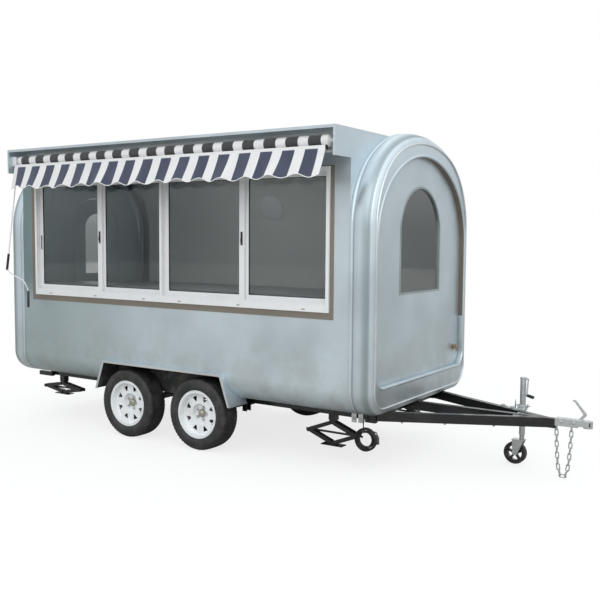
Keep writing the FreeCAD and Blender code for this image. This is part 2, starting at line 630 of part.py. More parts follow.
def make_rim(centre, side):
    """Steel rim: stepped barrel, and a dished disc with eight three-cornered holes and a hub hole."""
    barrel = revolved(rim_profile(0) + rim_profile(-RIM_SHEET / 2)[::-1], centre)
    face = side * (RIM_WIDTH / 2 - RIM_DISC_IN)
    dish = side * (RIM_WIDTH / 2 - RIM_DISH_IN)
    foot = side * (RIM_WIDTH / 2 - RIM_FOOT_IN)
    sheet = side * RIM_SHEET * 0.7
    outer_r = RIM_RADIUS - 22
    disc = revolved([(face, HUB_RADIUS + 8), (face, NUT_SEAT_RADIUS), (dish, NUT_SEAT_RADIUS + 12),
                     (dish, 100.0), (dish - side * 4, outer_r - 22), (foot, outer_r), (foot - sheet, outer_r),
                     (dish - side * 4 - sheet, outer_r - 24), (dish - sheet, 99.0),
                     (dish - sheet, NUT_SEAT_RADIUS + 14), (face - sheet, NUT_SEAT_RADIUS + 2),
                     (face - sheet, HUB_RADIUS + 8)], centre)
    reach = side * RIM_WIDTH
    low, high = HOLE_RADII
    narrow, wide = HOLE_HALF_WIDTHS
    for index in range(RIM_HOLES):
        turn = (index + 0.5) * 360 / RIM_HOLES
        outline = ((-wide, high), (wide, high), (narrow, low), (-narrow, low))
        corners = [V(centre.x + across, centre.y, centre.z + up) for across, up in outline]
        hole = prism(corners, V(0, reach, 0))
        hole.rotate(centre, Y_AXIS, turn)
        disc = disc.cut(hole)
    return fuse([barrel, disc])


def make_tyre(centre):
    """Tyre with rounded shoulders and sidewalls that seat on the rim."""
    half = TYRE_WIDTH / 2
    seat = RIM_RADIUS - 18 + SEAT
    bead = RIM_WIDTH / 2 - SEAT
    edge = RIM_RADIUS + 4
    belly = (RIM_RADIUS + TYRE_RADIUS) / 2

    def at(along, below_tread):
        return V(centre.x, centre.y + along, centre.z + TYRE_RADIUS - below_tread)

    def point(along, radius):
        return V(centre.x, centre.y + along, centre.z + radius)

    edges = []
    for side in (1, -1):
        low, high = at(side * (half - 16), 12), at(side * (half - 34), 2)
        wall = Part.Arc(point(side * bead, edge), point(side * half, belly), low).toShape()
        shoulder = Part.Arc(low, at(side * (half - 22), 5), high).toShape()
        foot = Part.makeLine(point(side * bead, seat), point(side * bead, edge))
        edges += [foot, wall, shoulder]
    edges.append(Part.Arc(at(half - 34, 2), at(0, 0), at(34 - half, 2)).toShape())
    edges.append(Part.makeLine(point(-bead, seat), point(bead, seat)))
    wire = Part.Wire(Part.__sortEdges__(edges))
    return Part.Face(wire).revolve(centre, Y_AXIS, 360)


def make_wheels_and_axles():
    """Two axles on leaf springs, each with a drum, a rim and a tyre at both ends."""
    wheel_y = TYRE_FACE_Y - TYRE_WIDTH / 2
    for axle_name, axle_x in (("front", 0.0), ("rear", -AXLE_SPACING)):
        beam_end = SPRING_Y + SPRING_WIDTH / 2 + 8
        half = AXLE_TUBE / 2
        beam = box(axle_x - half, axle_x + half, -beam_end, beam_end, TYRE_RADIUS - half, TYRE_RADIUS + half)
        pieces = [beam]
        for side in (NEAR, FAR):
            pieces.append(rod(V(axle_x, side * (beam_end - 5), TYRE_RADIUS),
                              V(axle_x, side * (wheel_y + 16), TYRE_RADIUS), STUB_RADIUS))
        keep("axles", fuse(pieces))
        for side_name, side in (("near", NEAR), ("far", FAR)):
            label = "_" + axle_name + "_" + side_name
            centre = V(axle_x, side * wheel_y, TYRE_RADIUS)
            keep("tyre" + label, make_tyre(centre))
            drum_in = side * (GUARD_IN + GUARD_SHEET + 9)
            drum_out = centre.y + side * (RIM_WIDTH / 2 - RIM_DISC_IN - RIM_SHEET * 0.7)
            cap_out = side * (TYRE_FACE_Y - HUB_RECESS)
            axis_in = V(axle_x, drum_in, TYRE_RADIUS)
            drum = rod(axis_in, V(axle_x, drum_out, TYRE_RADIUS), DRUM_RADIUS)
            hub_in = V(axle_x, drum_out - side * 4, TYRE_RADIUS)
            hub = rod(hub_in, V(axle_x, cap_out, TYRE_RADIUS), HUB_RADIUS)
            bore_end = V(axle_x, side * (wheel_y + 20), TYRE_RADIUS)
            bore = rod(axis_in - V(0, side, 0), bore_end, STUB_RADIUS + STUB_PLAY)
            keep("wheel" + label, fuse([make_rim(centre, side), drum, hub]).cut(bore))


def make_springs():
    """Leaf springs over the axles with their hangers, equaliser and clamps."""
    for side in (NEAR, FAR):
        y0 = side * SPRING_Y - SPRING_WIDTH / 2
        for axle_x in (0.0, -AXLE_SPACING):
            leaves = []
            for index in range(LEAF_COUNT):
                half = SPRING_HALF * (1 - 0.2 * index)
                sag = 22.0 * (half / SPRING_HALF) ** 2
                z = TYRE_RADIUS + AXLE_TUBE / 2 + LEAF_THICK * (LEAF_COUNT - 1 - index)
                a = V(axle_x - half, y0, z + sag)
                m = V(axle_x, y0, z)
                b = V(axle_x + half, y0, z + sag)
                up = V(0, 0, LEAF_THICK)
                edges = [Part.Arc(a, m, b).toShape(), Part.makeLine(b, b + up),
                         Part.Arc(b + up, m + up, a + up).toShape(), Part.makeLine(a + up, a)]
                leaves.append(Part.Face(Part.Wire(edges)).extrude(V(0, SPRING_WIDTH, 0)))
            keep("leaf_springs", fuse(leaves))
        hangers = ((SPRING_HALF + 8, 40), (-AXLE_SPACING / 2, 70), (-AXLE_SPACING - SPRING_HALF - 8, 40))
        for x, half_width in hangers:
            outer = side * (SPRING_Y + SPRING_WIDTH / 2 + HANGER_PLATE + SEAT)
            inner = side * (RAIL_Y + RAIL_WIDTH / 2)
            high = CABIN_BOTTOM - SEAT
            low = high - HANGER_TOP
            keep("spring_hangers", box(x - half_width, x + half_width, inner, outer, low, high))
            inside = side * (SPRING_Y - SPRING_WIDTH / 2 - HANGER_PLATE - SEAT)
            for face in (outer - side * HANGER_PLATE, inside):
                keep("spring_hangers", box(x - half_width * 0.6, x + half_width * 0.6, face,
                                           face + side * HANGER_PLATE, TYRE_RADIUS + 30, low))


def make_guards():
    """Mudguards: sheet tunnels over each pair of wheels."""
    for name, side in (("mudguard_near", NEAR), ("mudguard_far", FAR)):
        y_in = side * (GUARD_IN + SEAT)
        outer = prism(guard_outline(y_in, SEAT), V(0, side * (GUARD_OUT - GUARD_IN - SEAT), 0))
        inner = guard_outline(y_in + side * GUARD_SHEET, GUARD_SHEET)
        feet = [V(p.x, p.y, GUARD_FOOT_Z - 5) for p in (inner[3], inner[0])]
        cavity = prism(inner + feet, V(0, side * (GUARD_OUT - GUARD_IN), 0))
        keep(name, outer.cut(cavity))


def make_jack(x, side, top, drop, span, name):
    """Scissor jack under the chassis: top channel, four arms, a screw through the side pivots and a foot."""
    y = side * JACK_Y
    depth = JACK_DEPTH / 2
    middle = top - drop / 2
    pieces = [box(x - 26, x + 26, y - depth + 6, y + depth - 6, top - 26, top + 8)]
    for z_end, sign in ((top - JACK_END, 1), (top - drop + JACK_END, -1)):
        for direction in (-1, 1):
            start = V(x + direction * JACK_END, y, z_end)
            end = V(x + direction * span, y, middle)
            along = (end - start).normalize()
            normal = V(-along.z, 0, along.x) * (JACK_ARM_WIDTH / 2)
            points = [start + normal, end + normal, end - normal, start - normal]
            depth_arm = depth if sign > 0 else depth - 8
            arm = prism([p - V(0, depth_arm, 0) for p in points], V(0, 2 * depth_arm, 0))
            pieces.append(arm)
    pieces.append(rod(V(x - span - 34, y, middle), V(x + span + 44, y, middle), JACK_SCREW_RADIUS))
    for direction in (-1, 1):
        pieces.append(rod(V(x + direction * span, y - depth - 4, middle),
                          V(x + direction * span, y + depth + 4, middle), JACK_PIN_RADIUS))
    foot = box(x - JACK_FOOT / 2, x + JACK_FOOT / 2, y - depth - 10, y + depth + 10, top - drop - 8,
               top - drop)
    pieces.append(foot)
    pieces.append(box(x - 26, x + 26, y - depth + 14, y + depth - 14, top - drop, top - drop + 26))
    pieces.append(box(x - 32, x + 32, y - depth, y + depth, top + 8, CABIN_BOTTOM - RAIL_HEIGHT))
    keep(name, fuse(pieces))


def make_jacks():
    """Four stabilisers: the front pair hangs open, the rear pair is wound up."""
    for side in (NEAR, FAR):
        make_jack(JACK_FRONT_X, side, JACK_FRONT_TOP, JACK_FRONT_DROP, JACK_FRONT_SPAN, "stabilisers_front")
        make_jack(JACK_REAR_X, side, JACK_REAR_TOP, JACK_REAR_DROP, JACK_REAR_SPAN, "stabilisers_rear")


def make_coupling():
    """Ball coupling with its socket, the chain plate under it with two eyes, and the lever."""
    x0 = TONGUE_END + SEAT
    x_ball = x0 + COUPLING_LENGTH - 34
    half = COUPLING_WIDTH / 2
    z0 = COUPLING_Z
    sheet = 5.0
    top = z0 + COUPLING_HEIGHT
    cup_z = z0 + 12
    body = box(x0, x_ball, -half, half, z0, top)
    head = rod(V(x_ball, 0, z0 - 10), V(x_ball, 0, top), half)
    socket = rod(V(x_ball, 0, z0 - 14), V(x_ball, 0, cup_z), BALL_RADIUS)
    cup = Part.makeSphere(BALL_RADIUS, V(x_ball, 0, cup_z))
    inside = box(x0 + sheet, x_ball - half + 2, -half + sheet, half - sheet, z0 - 1, top - sheet)
    shell = fuse([body, head]).cut(socket).cut(cup).cut(inside)
    plate = box(x0, x0 + CHAIN_PLATE, -half, half, z0 - 12, z0 - 6)
    webs = [box(x0, x0 + CHAIN_PLATE, y, y + sheet, z0 - 7, z0 + 1) for y in (-half, half - sheet)]
    places = chain_places()
    eyes = [chain_link(*places[0]), chain_link(*places[-1])]
    keep("coupling", fuse([shell, plate] + webs + eyes))
    half_lever = LEVER_WIDTH / 2
    outline = ((-76, 0), (-44, 0), (-12, 40), (-14, 54), (-96, 150), (-116, 150), (-116, 140), (-102, 136),
               (-34, 46))
    points = [V(x_ball + along, -half_lever, top + up) for along, up in outline]
    keep("coupling_lever", prism(points, V(0, LEVER_WIDTH, 0)))


def make_jockey():
    """Jockey wheel: clamp on the drawbar, outer and inner tube, crank, swivelling fork and its wheel."""
    low = CABIN_BOTTOM - RAIL_HEIGHT
    axis_top = V(JOCKEY_X, JOCKEY_Y, JOCKEY_TOP)
    tube_low = 250.0
    keep("jockey_tube", pipe(V(JOCKEY_X, JOCKEY_Y, tube_low), axis_top, JOCKEY_OUTER, JOCKEY_INNER + SEAT))
    fork_top = JOCKEY_SWIVEL_Z - 6
    keep("jockey_inner_tube", rod(V(JOCKEY_X, JOCKEY_Y, JOCKEY_SWIVEL_Z + SEAT),
                                  V(JOCKEY_X, JOCKEY_Y, JOCKEY_TOP - 40), JOCKEY_INNER))
    clamp_z = low + 8
    rear_x, front_x = JOCKEY_X - JOCKEY_REACH, JOCKEY_X + JOCKEY_REACH
    rear_y = HITCH_SLOPE * (HITCH_APEX - rear_x) + SEAT
    front_y = HITCH_SLOPE * (HITCH_APEX - front_x) + SEAT
    clamp = prism([V(rear_x, rear_y, clamp_z), V(rear_x, JOCKEY_Y, clamp_z), V(front_x, JOCKEY_Y, clamp_z),
                   V(front_x, front_y, clamp_z)], V(0, 0, RAIL_HEIGHT - 16))
    clamp = clamp.cut(rod(V(JOCKEY_X, JOCKEY_Y, low), V(JOCKEY_X, JOCKEY_Y, 600), JOCKEY_OUTER + SEAT))
    keep("jockey_clamp", clamp)
    cap = rod(axis_top, axis_top + V(0, 0, 14), JOCKEY_OUTER + 2)
    start = axis_top + V(0, 0, 7)
    turn = axis_top + V(46, -14, 5)
    knee = axis_top + V(40, -26, -128)
    hand = axis_top + V(104, -60, -134)
    crank = [cap, rod(start, turn, 6), Part.makeSphere(7, turn), rod(turn, knee, 6), Part.makeSphere(7, knee),
             rod(knee, hand, 12)]
    keep("jockey_crank", fuse(crank))
    wheel = V(JOCKEY_X - JOCKEY_TRAIL, JOCKEY_Y, JOCKEY_WHEEL_RADIUS)
    half = JOCKEY_WHEEL_WIDTH / 2 + JOCKEY_PLAY
    sheet = JOCKEY_SHEET
    crown = box(wheel.x - 26, JOCKEY_X + 26, JOCKEY_Y - half - sheet, JOCKEY_Y + half + sheet, fork_top,
                JOCKEY_SWIVEL_Z)
    cheeks = []
    for side in (-1, 1):
        y0 = JOCKEY_Y + side * half
        cheek = prism([V(wheel.x - 20, y0, fork_top), V(JOCKEY_X + 24, y0, fork_top),
                       V(wheel.x + 20, y0, wheel.z - 16), V(wheel.x - 16, y0, wheel.z - 16)],
                      V(0, side * sheet, 0))
        cheeks.append(cheek)
    axle = rod(V(wheel.x, JOCKEY_Y - half - 12, wheel.z), V(wheel.x, JOCKEY_Y + half + 12, wheel.z),
               JOCKEY_AXLE_RADIUS)
    keep("jockey_fork", fuse([crown, axle] + cheeks))
    inner = JOCKEY_RIM_RADIUS
    ring = pipe(wheel - V(0, 20, 0), wheel + V(0, 20, 0), inner, inner - 10)
    hub = rod(wheel - V(0, 22, 0), wheel + V(0, 22, 0), 20)
    spokes = []
    for index in range(JOCKEY_SPOKES):
        spoke = box(wheel.x - 9, wheel.x + 9, wheel.y - 12, wheel.y + 12, wheel.z + 14, wheel.z + inner - 5)
        spoke.rotate(wheel, Y_AXIS, 360 / JOCKEY_SPOKES * index)
        spokes.append(spoke)
    bore = rod(wheel - V(0, 30, 0), wheel + V(0, 30, 0), JOCKEY_AXLE_RADIUS + STUB_PLAY)
    keep("jockey_wheel", fuse([ring, hub] + spokes).cut(bore))
    keep("jockey_tyre", pipe(wheel - V(0, 22, 0), wheel + V(0, 22, 0), JOCKEY_WHEEL_RADIUS, inner))


def chain_link(centre, along, flat):
    """One chain link: a stadium of round wire, its long way along one direction, flat across another."""
    side = along.cross(flat)
    bend = CHAIN_LINK_WIDTH / 2 - CHAIN_WIRE
    half_straight = CHAIN_INNER / 2 - (bend - CHAIN_WIRE)
    ends = []
    for sign in (1, -1):
        base = centre + along * (sign * half_straight)
        ends.append((base + side * (bend * sign), base + along * (bend * sign), base - side * (bend * sign)))
    path = [Part.Arc(*ends[0]).toShape(), Part.makeLine(ends[0][2], ends[1][0]),
            Part.Arc(*ends[1]).toShape(), Part.makeLine(ends[1][2], ends[0][0])]
    section = Part.Wire([Part.makeCircle(CHAIN_WIRE, ends[0][0], along)])
    return Part.Wire(path).makePipeShell([section], True, False)


def chain_sag(reach, lengths):
    """Number c for which the links next to the bottom one, leaning by atan(i / c), span the reach."""
    low, high = 0.0, 2.0
    for _ in range(60):
        middle = (low + high) / 2
        span = sum(length * middle / math.hypot(middle, i + 1) for i, length in enumerate(lengths))
        low, high = (middle, high) if span < reach else (low, middle)
    return low


def chain_places():
    """Centre, long direction and flat direction of every link, eye to eye. Upright links and crosswise
    links take turns. A crosswise link's bow runs through the end of each upright one, so the linkage's
    pins lie on the crosswise bows: nearer than half a pitch to upright centres, further from crosswise."""
    upright = CHAIN_INNER / 2 - CHAIN_WIRE - SEAT
    crosswise = CHAIN_INNER / 2 + CHAIN_WIRE
    lengths = [2 * (upright if i % 2 else crosswise) for i in range(CHAIN_SIDE_LINKS)]
    sag = chain_sag(CHAIN_SPAN / 2 - upright, lengths)
    leans = [math.atan2(i + 1, sag) for i in range(CHAIN_SIDE_LINKS)]
    drop = sum(length * math.sin(lean) for length, lean in zip(lengths, leans))
    eye_z = COUPLING_Z - CHAIN_EYE_DROP
    middle_x = CHAIN_X + CHAIN_SPAN / 2
    bottom = V(middle_x, 0, eye_z - crosswise - drop)
    sides = {}
    for sign in (-1, 1):
        pin = bottom + V(sign * upright, 0, 0)
        places = []
        for i, (length, lean) in enumerate(zip(lengths, leans)):
            along = V(sign * math.cos(lean), 0, math.sin(lean))
            flat = Y_AXIS if i % 2 else along.cross(Y_AXIS)
            places.append((pin + along * (length / 2), along, flat))
            pin = pin + along * length
        places.append((pin + V(0, 0, crosswise), Z_AXIS, Z_AXIS.cross(Y_AXIS)))
        sides[sign] = places
    return sides[-1][::-1] + [(bottom, V(1, 0, 0), Y_AXIS)] + sides[1]


def make_chain():
    """Safety chain hanging between the two eyes of the coupling's plate."""
    for place in chain_places()[1:-1]:
        keep("safety_chain", chain_link(*place))


def make_interior():
    """Worktops that show through the glass, and the round vent on the blank side."""
    x0 = CABIN_REAR + 160
    x1 = CABIN_FRONT - 160
    inner = HALF_WIDTH - WALL
    y0 = -inner + WORKTOP_SET_IN
    y1 = inner - 24
    keep("worktops", box(x0, x1, y0, y0 + WORKTOP_DEPTH, WORKTOP_Z - WORKTOP_THICK, WORKTOP_Z))
    keep("worktops", box(x0, x1, y1 - FAR_COUNTER_DEPTH, y1, FAR_COUNTER_Z - WORKTOP_THICK, FAR_COUNTER_Z))
    foot = CABIN_BOTTOM + FLOOR_THICK
    for x in (x0, (x0 + x1) / 2, x1 - WORKTOP_THICK):
        keep("worktop_panels", box(x, x + WORKTOP_THICK, -HALF_WIDTH + SILL_RADIUS, y0 + WORKTOP_DEPTH - 40,
                                   foot, WORKTOP_Z - WORKTOP_THICK))
        keep("worktop_panels", box(x, x + WORKTOP_THICK, y1 - FAR_COUNTER_DEPTH + 40,
                                   HALF_WIDTH - SILL_RADIUS, foot, FAR_COUNTER_Z - WORKTOP_THICK))


def vent_body(play):
    """Round vent through the shoulder of the roof on the blank side, with some play all round."""
    lean = math.asin((VENT_Z - SPRING_Z) / SHOULDER_RADIUS)
    normal = V(0, math.cos(lean), math.sin(lean))
    skin = V(VENT_X, HALF_WIDTH - SHOULDER_RADIUS, SPRING_Z) + normal * SHOULDER_RADIUS
    return rod(skin - normal * (WALL + VENT_IN + play), skin + normal * (VENT_OUT + play), VENT_RADIUS + play)


def make_fittings():
    """Side vent, tail lamps and the drain tap."""
    keep("side_vent", vent_body(0))
    x_rear = CABIN_REAR - CAP_DEPTH + CAP_RECESS
    for side in (NEAR, FAR):
        y = side * LAMP_Y
        lamp = box(x_rear - 22, x_rear, y - LAMP_WIDTH / 2, y + LAMP_WIDTH / 2, LAMP_Z, LAMP_Z + LAMP_HEIGHT)
        keep("tail_lamps", lamp.makeFillet(8, [e for e in lamp.Edges if e.BoundBox.XMax < x_rear - 1]))
    x_front = CABIN_FRONT + CAP_DEPTH - CAP_RECESS
    seat = V(x_front, TAP_Y, TAP_Z)
    flange = rod(seat, seat + V(6, 0, 0), 26)
    body = rod(seat, seat + V(46, 0, 0), 12)
    spout = rod(seat + V(40, 0, 0), seat + V(40, 0, -34), 9)
    stem = rod(seat + V(28, 0, 0), seat + V(28, 0, 24), 6)
    lever = box(seat.x + 18, seat.x + 30, TAP_Y - 52, TAP_Y + 10, TAP_Z + 20, TAP_Z + 28)
    keep("drain_tap", fuse([flange, body, spout, stem, lever]))


def make_cable():
    """Wiring lead and its coil at the front corner."""
    low = V(COIL_X, COIL_Y - COIL_WIDTH / 2, COIL_Z)
    ring = pipe(low, low + V(0, COIL_WIDTH, 0), COIL_RADIUS, COIL_HOLE)
    keep("cable_coil", ring)
    plug_x = COIL_X + (COIL_RADIUS + COIL_HOLE) / 2
    plug_low = V(plug_x, COIL_Y + COIL_WIDTH / 2 + PLUG_RADIUS + SEAT, COIL_Z - 40)
    keep("cable_plug", rod(plug_low, plug_low + V(0, 0, 74), PLUG_RADIUS))
    lead_x = COIL_X - CABLE_SET_BACK
    low = V(lead_x, COIL_Y, COIL_Z + COIL_RADIUS - 1)
    keep("cable_lead", rod(low, V(lead_x, COIL_Y, CABIN_BOTTOM - SEAT), CABLE_RADIUS))


def make_everything():
    """Builds each group of sub-parts."""
    make_cabin_shell()
    make_awning_box()
    make_front_end()
    make_rear_end()
    make_service_window()
    make_awning()
    make_chassis()
    make_wheels_and_axles()
    make_springs()
    make_guards()
    make_jacks()
    make_coupling()
    make_jockey()
    make_chain()
    make_interior()
    make_fittings()
    make_cable()


def centring_shift():
    """Move that puts the whole trailer's bounding box on the middle of the frame."""
    whole = Part.makeCompound([solid for solids in PARTS.values() for solid in solids])
    limits = whole.optimalBoundingBox(False, False)
    return V(-(limits.XMin + limits.XMax) / 2, -(limits.YMin + limits.YMax) / 2, 0)


def export_all(shift):
    """Moves every sub-part and writes one file for each."""
    os.makedirs("parts", exist_ok=True)
    for name, solids in PARTS.items():
        for index, solid in enumerate(solids):
            solid.translate(shift)
            if not solid.isValid():
                print("not valid:", name, index)
        shape = Part.makeCompound(solids) if len(solids) > 1 else solids[0]
        shape.exportStep("parts/" + name + ".step")


make_everything()
PLACE = centring_shift()
export_all(PLACE)
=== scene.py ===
"""Looks of a round-top food trailer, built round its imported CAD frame.

The frame is loaded at the top. Each operator makes one group of pieces, and main calls them in order.
Sizes are in metres. The front axle, the mid plane and the ground give the trailer's own zero, and
ORIGIN moves a point from there into the frame's coordinates.
"""
import math

import bmesh
import bpy
import numpy as np
from bpy.props import BoolProperty, FloatProperty, FloatVectorProperty, IntProperty, PointerProperty
from mathutils import Matrix, Vector


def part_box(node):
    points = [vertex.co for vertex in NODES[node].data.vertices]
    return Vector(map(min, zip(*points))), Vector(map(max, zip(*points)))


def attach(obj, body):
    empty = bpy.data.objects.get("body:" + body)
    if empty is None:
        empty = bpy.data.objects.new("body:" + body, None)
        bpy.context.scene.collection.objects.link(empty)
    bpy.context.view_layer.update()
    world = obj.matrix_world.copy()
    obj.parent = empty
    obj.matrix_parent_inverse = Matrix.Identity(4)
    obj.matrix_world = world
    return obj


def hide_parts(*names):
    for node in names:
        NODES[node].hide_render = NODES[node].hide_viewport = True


bl_info = {
    "name": "Round-top food trailer",
    "version": (1, 0, 0),
    "blender": (4, 5, 0),
    "location": "View3D > Sidebar > Trailer",
    "description": "Finishes and small pieces of a food trailer on its CAD frame",
    "category": "Object",
}

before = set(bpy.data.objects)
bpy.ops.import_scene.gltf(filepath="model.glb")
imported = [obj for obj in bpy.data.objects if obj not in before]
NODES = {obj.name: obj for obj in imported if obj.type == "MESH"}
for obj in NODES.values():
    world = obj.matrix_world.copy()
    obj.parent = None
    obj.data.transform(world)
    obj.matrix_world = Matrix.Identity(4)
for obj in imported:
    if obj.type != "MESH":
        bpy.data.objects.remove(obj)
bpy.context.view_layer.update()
AXLE_SPACING = 0.838
TYRE_RADIUS = 0.317


def frame_zero():
    """The front axle on the mid plane at the ground, in the frame's coordinates."""
    near_low, near_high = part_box("tyre_front_near")
    _, far_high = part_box("tyre_front_far")
    return np.array([(near_low.x + near_high.x) / 2, (near_low.y + far_high.y) / 2, 0.0])


ORIGIN = frame_zero()


def placed(points):
    """Points given from the trailer's own zero, as an array in the frame's coordinates."""
    return np.asarray(points, float) + ORIGIN


# Mesh helpers

def grid_faces(rows, columns, wrap_rows=False, wrap_columns=False, flip=False):
    """Corner numbers of the quads of a grid: quad (i, j) joins (i, j), (i+1, j), (i+1, j+1), (i, j+1)."""
    i = np.arange(rows if wrap_rows else rows - 1)[:, None]
    j = np.arange(columns if wrap_columns else columns - 1)[None, :]
    a = i * columns + j
    b = ((i + 1) % rows) * columns + j
    c = ((i + 1) % rows) * columns + (j + 1) % columns
    d = i * columns + (j + 1) % columns
    quads = np.stack([a, b, c, d], axis=-1).reshape(-1, 4)
    return quads[:, ::-1] if flip else quads


def joined(parts):
    """One list of points and one of faces from several (points, faces) pairs."""
    points, faces, start = [], [], 0
    for part_points, part_faces in parts:
        part_points = np.asarray(part_points, float).reshape(-1, 3)
        points.append(part_points)
        faces.extend((np.asarray(face) + start).tolist() for face in part_faces)
        start += len(part_points)
    return np.concatenate(points), faces


def new_piece(name, parts, finish, body="trailer", replaces=(), smooth=True, uv=None,
              outward=True):
    """Mesh object at the origin from (points, faces) pairs, riding on a body."""
    points, faces = joined(parts)
    mesh = bpy.data.meshes.new(name)
    mesh.from_pydata(points.tolist(), [], faces)
    if uv is not None:
        layer = mesh.uv_layers.new(name="UVMap")
        corner = np.empty(len(mesh.loops), np.int32)
        mesh.loops.foreach_get("vertex_index", corner)
        layer.data.foreach_set("uv", np.asarray(uv, np.float32)[corner].ravel())
    mesh.update()
    if outward:
        edit = bmesh.new()
        edit.from_mesh(mesh)
        bmesh.ops.recalc_face_normals(edit, faces=edit.faces)
        edit.to_mesh(mesh)
        edit.free()
    mesh.polygons.foreach_set("use_smooth", np.full(len(mesh.polygons), smooth))
    mesh.update()
    piece = bpy.data.objects.new(name, mesh)
    bpy.context.scene.collection.objects.link(piece)
    piece.data.materials.append(finish)
    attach(piece, body)
    if replaces:
        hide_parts(*replaces)
    return piece


def bevel(piece, width, segments=2, angle=35):
    """Rounds a piece's hard edges."""
    modifier = piece.modifiers.new("Bevel", "BEVEL")
    modifier.width = width
    modifier.segments = segments
    modifier.limit_method = "ANGLE"
    modifier.angle_limit = math.radians(angle)
    return piece


def block(low, high):
    """Six-sided block between two corners, as points and faces."""
    x0, y0, z0 = low
    x1, y1, z1 = high
    points = [(x0, y0, z0), (x1, y0, z0), (x1, y1, z0), (x0, y1, z0),
              (x0, y0, z1), (x1, y0, z1), (x1, y1, z1), (x0, y1, z1)]
    faces = [(0, 3, 2, 1), (4, 5, 6, 7), (0, 1, 5, 4), (1, 2, 6, 5), (2, 3, 7, 6), (3, 0, 4, 7)]
    return np.array(points), faces


def side_vectors(direction):
    """Two unit vectors square to a direction and to each other."""
    direction = np.asarray(direction, float)
    direction = direction / np.linalg.norm(direction)
    helper = np.array([0.0, 0.0, 1.0]) if abs(direction[2]) < 0.9 else np.array([1.0, 0.0, 0.0])
    first = np.cross(helper, direction)
    first /= np.linalg.norm(first)
    return first, np.cross(direction, first)


def turned(start, direction, profile, sides=24):
    """Profile of (distance along, radius) pairs turned round an axis: point = start + along * direction
    + radius * (cos t * first + sin t * second)."""
    direction = np.asarray(direction, float) / np.linalg.norm(direction)
    first, second = side_vectors(direction)
    profile = np.asarray(profile, float)
    turn = np.arange(sides) * 2 * np.pi / sides
    ring = np.cos(turn)[:, None] * first + np.sin(turn)[:, None] * second
    points = (np.asarray(start, float) + profile[:, 0, None, None] * direction
              + profile[:, 1, None, None] * ring[None])
    rows = len(profile)
    faces = grid_faces(rows, sides, wrap_columns=True).tolist()
    faces.append(list(range(sides)))
    faces.append(list(range((rows - 1) * sides, rows * sides))[::-1])
    return points.reshape(-1, 3), faces


def tube(path, radius, sides=12, closed=False):
    """Round bar along a path: at each point a circle in the plane square to the path's direction, with its
    first side vector carried on from one fixed vector that is square to the whole path where it is flat."""
    path = np.asarray(path, float)
    if closed:
        along = np.roll(path, -1, axis=0) - np.roll(path, 1, axis=0)
    else:
        along = np.gradient(path, axis=0)
    along /= np.linalg.norm(along, axis=1, keepdims=True)
    spread = path - path.mean(axis=0)
    flat = np.linalg.svd(spread, full_matrices=False)[2][-1]
    first = flat - (along @ flat)[:, None] * along
    weak = np.linalg.norm(first, axis=1) < 0.05
    if weak.any():
        flat = side_vectors(path[-1] - path[0])[0]
        first = flat - (along @ flat)[:, None] * along
    first /= np.linalg.norm(first, axis=1, keepdims=True)
    second = np.cross(along, first)
    radius = np.broadcast_to(np.asarray(radius, float), (len(path),))[:, None, None]
    turn = np.arange(sides) * 2 * np.pi / sides
    points = path[:, None, :] + radius * (np.cos(turn)[None, :, None] * first[:, None, :]
                                          + np.sin(turn)[None, :, None] * second[:, None, :])
    rows = len(path)
    faces = grid_faces(rows, sides, wrap_rows=closed, wrap_columns=True).tolist()
    if not closed:
        faces.append(list(range(sides))[::-1])
        faces.append(list(range((rows - 1) * sides, rows * sides)))
    return points.reshape(-1, 3), faces


def six_sided_nut(centre, direction, across, height):
    """Hexagon nut with a chamfered top: six points on circles whose radius falls near the top."""
    reach = across / math.sqrt(3)
    profile = [(0, reach), (height * 0.82, reach), (height, reach * 0.86)]
    return turned(centre, direction, profile, sides=6)


def rivet(start, direction, radius, height):
    """Low dome: circles of radius r * cos(a) at height h * sin(a)."""
    angle = np.linspace(0, np.pi / 2 * 0.92, 4)
    profile = np.stack([height * np.sin(angle), radius * np.cos(angle)], axis=1)
    return turned(start, direction, np.concatenate([[[-0.0015, radius]], profile]), sides=10)


# Materials

def new_finish(name, colour, metallic=0.0, roughness=0.5, **sockets):
    """Plain shader node set, ready for its texture nodes."""
    finish = bpy.data.materials.new(name)
    finish.use_nodes = True
    shader = finish.node_tree.nodes["Principled BSDF"]
    shader.inputs["Base Color"].default_value = (*colour, 1.0)
    shader.inputs["Metallic"].default_value = metallic
    shader.inputs["Roughness"].default_value = roughness
    for socket, value in sockets.items():
        shader.inputs[socket.replace("_", " ")].default_value = value
    return finish, shader


